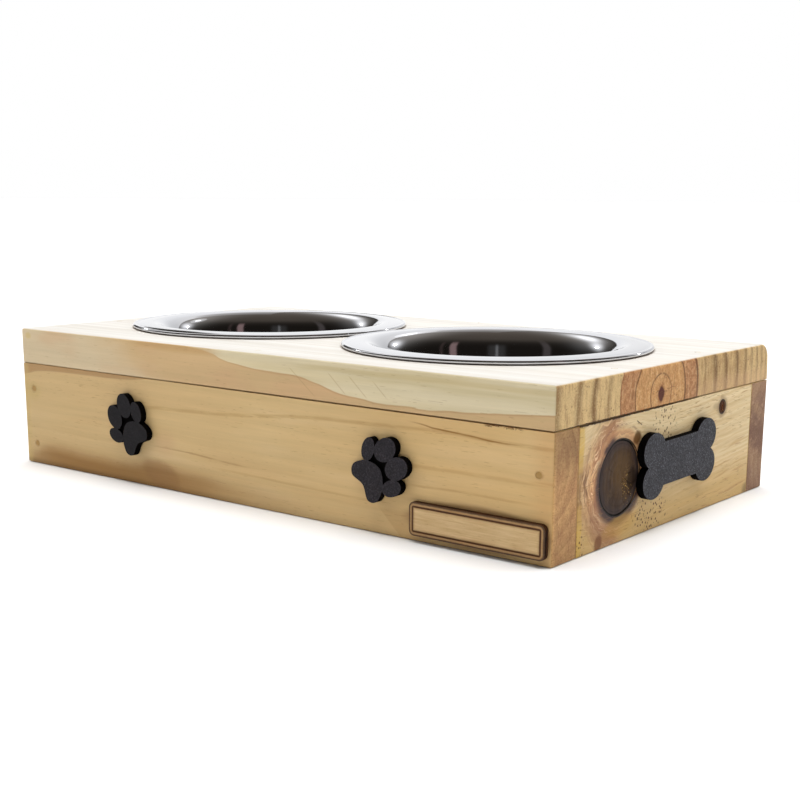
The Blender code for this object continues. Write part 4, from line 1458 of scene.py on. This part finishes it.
left_end = board(
    "left_end_board_wood",
    (-XR, end_low_y, 0.0),
    (-XR + END_DEPTH, end_high_y, BOARD_TOP),
    lower_rounding,
    [
        brad_holes(
            "left_holes",
            of_side(front_heads, "left") + of_side(rear_heads, "left") + of_side(top_heads, "left"),
        )
    ],
    spacing=(0, 14, 12),
    wobble=0.12,
    seed=17.9,
)
left_material = left_end_pine()
place(left_end, "stand", ["left_end_board"], "knotty_pine", left_material)
weighted_normals(left_end)

# Filler over each sunk nail head
filler, pale_filler = putty(), pale_putty()


def filler_plug(name, head, direction, material, seed):
    bm = bmesh.new()
    away = Vector(direction) * -1
    profile = [(0, 0.02), (1.7, 0.02), (1.7, 0.80), (1.45, 0.90), (0.9, 0.86), (0.4, 0.90), (0, 0.88)]
    lathe(
        bm,
        profile,
        28,
        radius_at=lambda a, r, z: r * (1 + 0.015 * math.sin(3 * a + seed)),
        axis=away,
        origin=head,
    )
    for v in bm.verts:
        if (v.co - Vector(head)).dot(away) > 0.7:
            v.co += away * 0.10 * noise.noise(v.co * 1.1 + Vector((seed, 0, 0)))
    mesh = mesh_of(bm, name)
    smooth_by_angle(mesh, 50)
    return place(add_object(name, mesh), "stand", [], None, material)


for group, heads, material in (
    ("front", front_heads, filler),
    ("rear", rear_heads, filler),
    ("top", top_heads, pale_filler),
):
    for n, (label, (head, direction)) in enumerate(heads.items()):
        if group == "rear":
            head = (head[0], head[1] + REAR_PROUD, head[2])
        filler_plug(f"{group}_filler_{label}", head, direction, material, n * 1.9 + len(group))

steel_wire = brad_steel()
for node_name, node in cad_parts.items():
    if "_brad_" in node_name:
        node.data.materials.clear()
        node.data.materials.append(steel_wire)

# --- bowls ------------------------------------------------------------------

SHEET = 0.8


def arc(cx, cz, rx, rz, start, stop, segments):
    points = []
    for i in range(segments + 1):
        a = math.radians(start + (stop - start) * i / segments)
        points.append((cx + rx * math.cos(a), cz + rz * math.sin(a)))
    return points


def bowl_line():
    """The sheet's middle line: heights are above the top board."""
    line = [(r, -52.0) for r in (0.0, 8.0, 16.0, 24.0, 32.0, 40.0, 45.0)]
    line += arc(49.6965, -43.0, 9.0, 9.0, -90, -9.5, 16)
    foot, top = line[-1], (64.7184, -7.7626)
    for i in range(1, 9):
        t = i / 9
        line.append((foot[0] + (top[0] - foot[0]) * t, foot[1] + (top[1] - foot[1]) * t))
    line += arc(75.0, -10.4, 10.5, 13.0, 168.302, 90, 24)
    line += [(76.8, 2.57), (78.6, 2.50), (80.3, 2.38), (81.8, 2.22), (83.1, 2.02), (84.3, 1.76)]
    return line


def offset_line(line, by):
    moved = []
    for i, (r, z) in enumerate(line):
        r0, z0 = line[max(i - 1, 0)]
        r1, z1 = line[min(i + 1, len(line) - 1)]
        run = math.hypot(r1 - r0, z1 - z0)
        moved.append((max(r - by * (z1 - z0) / run, 0.0), z + by * (r1 - r0) / run))
    moved[0] = (0.0, line[0][1] + by)
    return moved


def bowl_profile():
    line = bowl_line()
    inside = offset_line(line, SHEET / 2)
    outside = offset_line(line, -SHEET / 2)
    # The rolled edge stands a little proud of the flange, past a fine crease
    bead = arc(85.9, 1.4, 1.1, 1.1, 128, -213, 28)
    return inside + bead + outside[::-1]


for side, (bx, by) in BOWLS.items():
    bm = bmesh.new()
    lathe(bm, bowl_profile(), 224)
    mesh = mesh_of(bm, side + "_bowl_steel")
    mesh.transform(Matrix.Translation(Vector((bx, by, TOP)) * MM))
    smooth_by_angle(mesh, 60)
    bowl = add_object(side + "_bowl_steel", mesh)
    place(
        bowl,
        side + "_bowl",
        [side + "_bowl"],
        "polished_steel",
        bowl_steel(side + "_bowl_polish", (bx, by)),
    )

# --- badges -----------------------------------------------------------------

BADGE = 4.0
PAD = [
    (0.0, 9.9), (8.2, 5.4), (11.7, -2.6), (7.9, -7.1),
    (0.0, -4.7), (-7.9, -7.1), (-11.7, -2.6), (-8.2, 5.4),
]
TOES = [
    (-12.1, 9.9, 4.0, 6.3, 32.0),
    (-5.7, 18.7, 5.8, 7.4, -6.0),
    (5.6, 18.7, 5.7, 7.4, -15.0),
    (11.6, 9.8, 4.2, 6.3, -20.0),
]


def slab(outline, thickness, name):
    """An outline in the XY plane, from Z = 0 up."""
    bm = bmesh.new()
    lower = [bm.verts.new((x, y, 0.0)) for x, y in outline]
    upper = [bm.verts.new((x, y, thickness)) for x, y in outline]
    bm.faces.new(lower[::-1])
    bm.faces.new(upper)
    n = len(outline)
    for i in range(n):
        j = (i + 1) % n
        bm.faces.new((lower[i], lower[j], upper[j], upper[i]))
    return mesh_of(bm, name)


def oval(x, y, half_width, half_height, turn, count=72):
    c, s = math.cos(math.radians(turn)), math.sin(math.radians(turn))
    points = []
    for i in range(count):
        a = 2 * math.pi * i / count
        u, v = half_width * math.cos(a), half_height * math.sin(a)
        points.append((x + u * c - v * s, y + u * s + v * c))
    return points


def smooth_outline(knots, per_knot=12):
    """A closed curve through the knots."""
    points = []
    n = len(knots)
    for i in range(n):
        p0, p1, p2, p3 = (Vector(knots[(i + j - 1) % n]) for j in range(4))
        for k in range(per_knot):
            t = k / per_knot
            points.append(
                tuple(
                    0.5
                    * (
                        2 * p1
                        + (p2 - p0) * t
                        + (2 * p0 - 5 * p1 + 4 * p2 - p3) * t * t
                        + (3 * p1 - p0 - 3 * p2 + p3) * t * t * t
                    )
                )
            )
    return points


def soften_rims(obj, width, segments=3):
    """Rounds the front and back rims and gives the sides their own material."""
    bm = bmesh.new()
    bm.from_mesh(obj.data)
    bmesh.ops.dissolve_limit(bm, angle_limit=math.radians(1.0), verts=bm.verts, edges=bm.edges)
    rims = []
    for edge in bm.edges:
        if len(edge.link_faces) != 2:
            continue
        a, b = (abs(f.normal.z) for f in edge.link_faces)
        if max(a, b) > 0.9 and min(a, b) < 0.1:
            rims.append(edge)
    bmesh.ops.bevel(
        bm, geom=rims, offset=width * MM, segments=segments, profile=0.5,
        affect="EDGES", clamp_overlap=True,
    )
    for face in bm.faces:
        # Faces lower than the face, such as the paws' web, take the charred black as painted shadow
        high = face.calc_center_median().z > (BADGE - 1.0) * MM
        face.material_index = 0 if face.normal.z > 0.35 and high else 1
    bm.to_mesh(obj.data)
    bm.free()
    smooth_by_angle(obj.data, 40)
    return obj


def stand_on_face(mesh, place_mm, turn, face):
    """Turns a slab drawn in XY onto the front or the right-hand end."""
    if face == "front":
        matrix = Matrix.Rotation(math.radians(90), 4, "X") @ Matrix.Rotation(math.radians(turn), 4, "Z")
    else:
        matrix = (
            Matrix.Rotation(math.radians(90), 4, "Z")
            @ Matrix.Rotation(math.radians(90), 4, "X")
            @ Matrix.Rotation(math.radians(turn), 4, "Z")
        )
    mesh.transform(Matrix.Translation(Vector(place_mm) * MM) @ matrix)


# Painted light: both badges have one matt black paint; the paws' paint is shaded brighter towards the right-hand paw,
# and the bone's is lighter still where the end catches more light
paw_paint = badge_face("matt_black_paint_front", linear(21, 19, 22), linear(36, 33, 37), linear(58, 54, 60), 0.30, [(-110, 0.75), (-88, 0.80), (90, 1.85), (110, 1.90)])
bone_paint = badge_face("matt_black_paint_end", linear(36, 36, 40), linear(75, 75, 81), linear(112, 112, 120), 0.55)
charred = badge_side()


def paw_badge(side, x, z, turn):
    name = side + "_paw_badge_painted"
    badge = add_object(name, slab(smooth_outline(PAD), BADGE, name))
    for n, toe in enumerate(TOES):
        join(badge, slab(oval(*toe), BADGE, f"{name}_toe_{n}"))
    # A thinner web closes the gaps between the pad and the toes: a black sheet sunk below the face, as painted shadow
    # in the gaps
    join(badge, slab(oval(0.0, 10.6, 9.6, 4.6, 0.0), 2.4, name + "_shadow_web"))
    soften_rims(badge, 0.32)
    stand_on_face(badge.data, (x, YF - FIT, z), turn, "front")
    place(badge, "stand", [side + "_paw_badge"], "black_paint", paw_paint, charred)
    return weighted_normals(badge)


paw_badge("left", -88.0, 28.5, 41.0)
paw_badge("right", 90.0, 28.0, -50.0)

bone_name = "bone_badge_painted"
bone = add_object(
    bone_name,
    slab([(-28.7, -11.4), (28.7, -11.4), (28.7, 11.4), (-28.7, 11.4)], BADGE, bone_name),
)
for n, (kx, ky) in enumerate(((-28.7, 7.85), (-28.7, -7.85), (28.7, 7.85), (28.7, -7.85))):
    join(bone, slab(oval(kx, ky, 11.3, 9.2, 0.0, 88), BADGE, f"{bone_name}_knuckle_{n}"))
soften_rims(bone, 0.32)
stand_on_face(bone.data, (XR + FIT, 2.5, 34.9), 0.4, "right")
place(bone, "stand", ["bone_badge"], "black_paint", bone_paint, charred)
weighted_normals(bone)


# --- blank plaque -----------------------------------------------------------


def rounded_rectangle(half_x, half_y, corner, per_corner=10):
    points = []
    for cx, cy, start in (
        (half_x - corner, half_y - corner, 0),
        (-half_x + corner, half_y - corner, 90),
        (-half_x + corner, -half_y + corner, 180),
        (half_x - corner, -half_y + corner, 270),
    ):
        for k in range(per_corner + 1):
            a = math.radians(start + 90 * k / per_corner)
            points.append((cx + corner * math.cos(a), cy + corner * math.sin(a)))
    return points


def plaque():
    """A slab with a line engraved round its face."""
    name = "name_plaque_ply"
    bm = bmesh.new()
    loops = []
    # (inset from the outline, height)
    for inset, height in (
        (0.0, 0.0), (0.0, 2.75), (0.07, 2.92), (0.25, 3.0), (1.95, 3.0), (2.1, 2.72),
        (2.35, 2.62), (2.6, 2.72), (2.75, 3.0),
    ):
        corner = max(PLAQUE_CORNER - inset, 0.35)
        outline = rounded_rectangle(PLAQUE_HALF[0] - inset, PLAQUE_HALF[1] - inset, corner)
        loops.append([bm.verts.new((x, y, height)) for x, y in outline])
    bm.faces.new(loops[0][::-1])
    for low, high in zip(loops[:-1], loops[1:]):
        n = len(low)
        for i in range(n):
            j = (i + 1) % n
            bm.faces.new((low[i], low[j], high[j], high[i]))
    bm.faces.new(loops[-1])
    mesh = mesh_of(bm, name)
    for face in mesh.polygons:
        face.material_index = 1 if abs(face.normal.z) < 0.3 or face.normal.z < -0.5 else 0
    smooth_by_angle(mesh, 50)
    obj = add_object(name, mesh)
    stand_on_face(mesh, (PLAQUE_MIDDLE[0], YF - FIT, PLAQUE_MIDDLE[1]), 0.0, "front")
    place(obj, "stand", ["name_plaque"], "scorched_ply", plaque_face(), plaque_side())
    return weighted_normals(obj)


plaque()

# --- studio -----------------------------------------------------------------

YAW, PITCH, ROLL = -0.673412, 0.218166, 0.004967
LENS = 1329.539 / 800 * 36.0

camera_data = bpy.data.cameras.new("camera")
camera = bpy.data.objects.new("camera", camera_data)
scene.collection.objects.link(camera)
forward = Vector(
    (math.sin(YAW) * math.cos(PITCH), math.cos(YAW) * math.cos(PITCH), -math.sin(PITCH))
)
right = Vector((math.cos(YAW), -math.sin(YAW), 0.0))
up = right.cross(forward)
c, s = math.cos(ROLL), math.sin(ROLL)
right, up = right * c + up * s, up * c - right * s
turn = Matrix((right, up, -forward)).transposed().to_4x4()
camera.matrix_world = Matrix.Translation(Vector((508.83, -617.94, 168.10)) * MM + WOOD_CENTRE) @ turn
camera_data.sensor_width = 36.0
camera_data.lens = LENS
camera_data.shift_y = 88.208 / 800
camera_data.clip_start, camera_data.clip_end = 0.02, 60.0
scene.camera = camera

bm = bmesh.new()
lathe(bm, [(0, 0), (30000, 0)], 96)
floor = add_object("floor", mesh_of(bm, "floor"))
floor.location = (0, 0, -0.0002)
floor_net = Net("pale_floor")
fx, fy, fz = floor_net.point()
mottle = floor_net.noise(fx * 0.02, fy * 0.02, 0.0, detail=2.0)
floor.data.materials.append(
    floor_net.out(floor_net.mix(mottle, (0.88, 0.88, 0.88, 1), (0.90, 0.90, 0.90, 1)), 0.8)
)
floor_net.shader.inputs["Specular IOR Level"].default_value = 0.1
floor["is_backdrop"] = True


def soft_light(name, place_m, aim_m, size, power, colour=(1, 1, 1), seen=False, round_=False):
    data = bpy.data.lights.new(name, "AREA")
    data.energy = power
    data.color = colour
    if round_:
        data.shape = "DISK"
        data.size = size[0]
    else:
        data.shape = "RECTANGLE"
        data.size, data.size_y = size
    light = bpy.data.objects.new(name, data)
    scene.collection.objects.link(light)
    light.location = place_m
    light.rotation_mode = "QUATERNION"
    light.rotation_quaternion = (Vector(aim_m) - Vector(place_m)).to_track_quat("-Z", "Y")
    light.visible_camera = False
    light.visible_glossy = seen
    return light


def on_sky(azimuth, elevation, distance):
    """A place round the object; azimuth runs from +Y towards +X."""
    a, e = math.radians(azimuth), math.radians(elevation)
    return (
        distance * math.sin(a) * math.cos(e),
        distance * math.cos(a) * math.cos(e),
        distance * math.sin(e),
    )


MIDDLE = (0.0, 0.0, 0.05)
key_data = bpy.data.lights.new("overhead", "SUN")
key_data.energy = 3.8
key_data.angle = math.radians(58)
key = bpy.data.objects.new("overhead", key_data)
scene.collection.objects.link(key)
key.rotation_euler = (math.radians(-4), 0.0, 0.0)
key.visible_camera = False
key.visible_glossy = False
soft_light("front_left_fill", on_sky(-128, 26, 1.7), MIDDLE, (0.55, 0.55), 5.2)
soft_light("right_rear_fill", on_sky(48, 26, 1.7), MIDDLE, (0.55, 0.55), 4.3)
soft_light("lamp_left", on_sky(-86.5, 23, 2.6), MIDDLE, (0.20, 0.20), 2.2, seen=True, round_=True)
soft_light("lamp_right", on_sky(15.8, 22, 2.6), MIDDLE, (0.20, 0.20), 2.2, seen=True, round_=True)
NEAR_LAMP = (-0.016, 0.373, 0.443)
soft_light("lamp_upper_right", NEAR_LAMP, MIDDLE, (0.060, 0.060), 0.018, seen=True, round_=True)
soft_light("lamp_upper_right_rim", NEAR_LAMP, MIDDLE, (0.10, 0.10), 0.012, seen=True, round_=True)
soft_light("lamp_upper_right_haze", NEAR_LAMP, MIDDLE, (0.16, 0.16), 0.024, seen=True, round_=True)

world = bpy.data.worlds.new("studio")
scene.world = world
world.use_nodes = True
tree = world.node_tree
nodes, links = tree.nodes, tree.links
background = nodes["Background"]


class Sky(Net):
    def __init__(self, tree):
        self.tree, self.spot = tree, 0


sky = Sky(tree)
direction = sky.node("ShaderNodeTexCoord")
parts = sky.node("ShaderNodeSeparateXYZ")
links.new(direction.outputs["Generated"], parts.inputs[0])
sx, sy, sz = (Num(sky, o) for o in parts.outputs)
bearing = sky.math("ARCTAN2", sx, sy) * (180 / math.pi)
tilt = sky.math("ARCSINE", sz) * (180 / math.pi)


def glow(azimuth, elevation, wide, amount):
    """A round soft light on the sky, its width in degrees."""
    a, e = math.radians(azimuth), math.radians(elevation)
    near = (
        sx * (math.sin(a) * math.cos(e))
        + sy * (math.cos(a) * math.cos(e))
        + sz * math.sin(e)
    )
    off = sky.math("ARCCOSINE", near.least(1.0)) * (180 / math.pi) / wide
    return sky.math("EXPONENT", off * off * -1.0) * amount


# A white card behind the object; a dim room round it, darkest behind the camera
low = sky.step(tilt, 13.0, 7.0)
card = sky.step(bearing + low * 12.0, -49.1, -47.9) * sky.step(bearing - low * 26.0, 2.1, 0.9)
card = card * sky.curve(
    bearing.most(-60.0).least(30.0),
    [(-60, 1.0), (-50, 1.04), (-40, 1.08), (-30, 1.0), (-20, 0.86), (-12, 0.79), (-4, 0.73), (10, 0.66), (30, 0.6)],
)
card = card * sky.curve(
    tilt.most(-20.0).least(90.0),
    [(-20, 0.96), (20, 1.0), (43, 1.0), (48, 0.66), (53, 0.44), (60, 0.30), (68, 0.22), (78, 0.10), (90, 0.02)],
)
room = sky.curve(
    tilt.most(-20.0).least(90.0),
    [(-20, 0.012), (16, 0.014), (30, 0.024), (42, 0.058), (52, 0.088), (70, 0.105), (90, 0.125)],
)
halo = glow(-86.5, 23, 8.8, 1.3) + glow(15.8, 22, 8.8, 1.3)
halo = halo + glow(-75, 43, 10.5, 1.7)
halo = halo + glow(-112, 24, 16.0, 0.04)
warm = glow(-78, 41, 24.0, 0.30) + glow(8, 43, 25.0, 0.34)
pink = sky.band(bearing, 95.0, 102.5, 1.2) * sky.step(tilt, 40.0, 22.0) * 0.26
pink = pink + sky.band(bearing, -164.0, -155.5, 2.0) * sky.step(tilt, 52.0, 22.0) * 0.028
pink = pink + sky.band(bearing, 83.5, 87.0, 1.5) * sky.step(tilt, 40.0, 24.0) * 0.035
grey = sky.band(bearing, 144.8, 147.4, 0.8) * sky.step(tilt, 30.0, 8.0) * 0.17
grey = grey + sky.band(bearing, 137.0, 155.0, 3.0) * sky.step(tilt, 30.0, 8.0) * 0.035
grey = grey + sky.band(bearing, -164.0, -155.5, 2.0) * sky.step(tilt, 52.0, 22.0) * 0.034
light = card + halo + grey
shine = sky.vector(
    light + room + warm + pink,
    light + room * 0.82 + warm * 0.94 + pink * 0.66,
    light + room * 0.66 + warm * 0.86 + pink * 0.64,
)
rays = sky.node("ShaderNodeLightPath")
colour = sky.mix(Num(sky, rays.outputs["Is Glossy Ray"]), (0.13, 0.13, 0.13, 1), shine)
colour = sky.mix(Num(sky, rays.outputs["Is Camera Ray"]), colour, (1.0, 1.0, 1.0, 1))
links.new(colour, background.inputs["Color"])
background.inputs["Strength"].default_value = 1.0

scene.view_settings.view_transform = "Standard"
scene.view_settings.look = "None"
scene.view_settings.exposure = 0.0
scene.view_settings.gamma = 1.0

# --- end --------------------------------------------------------------------

low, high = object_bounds()
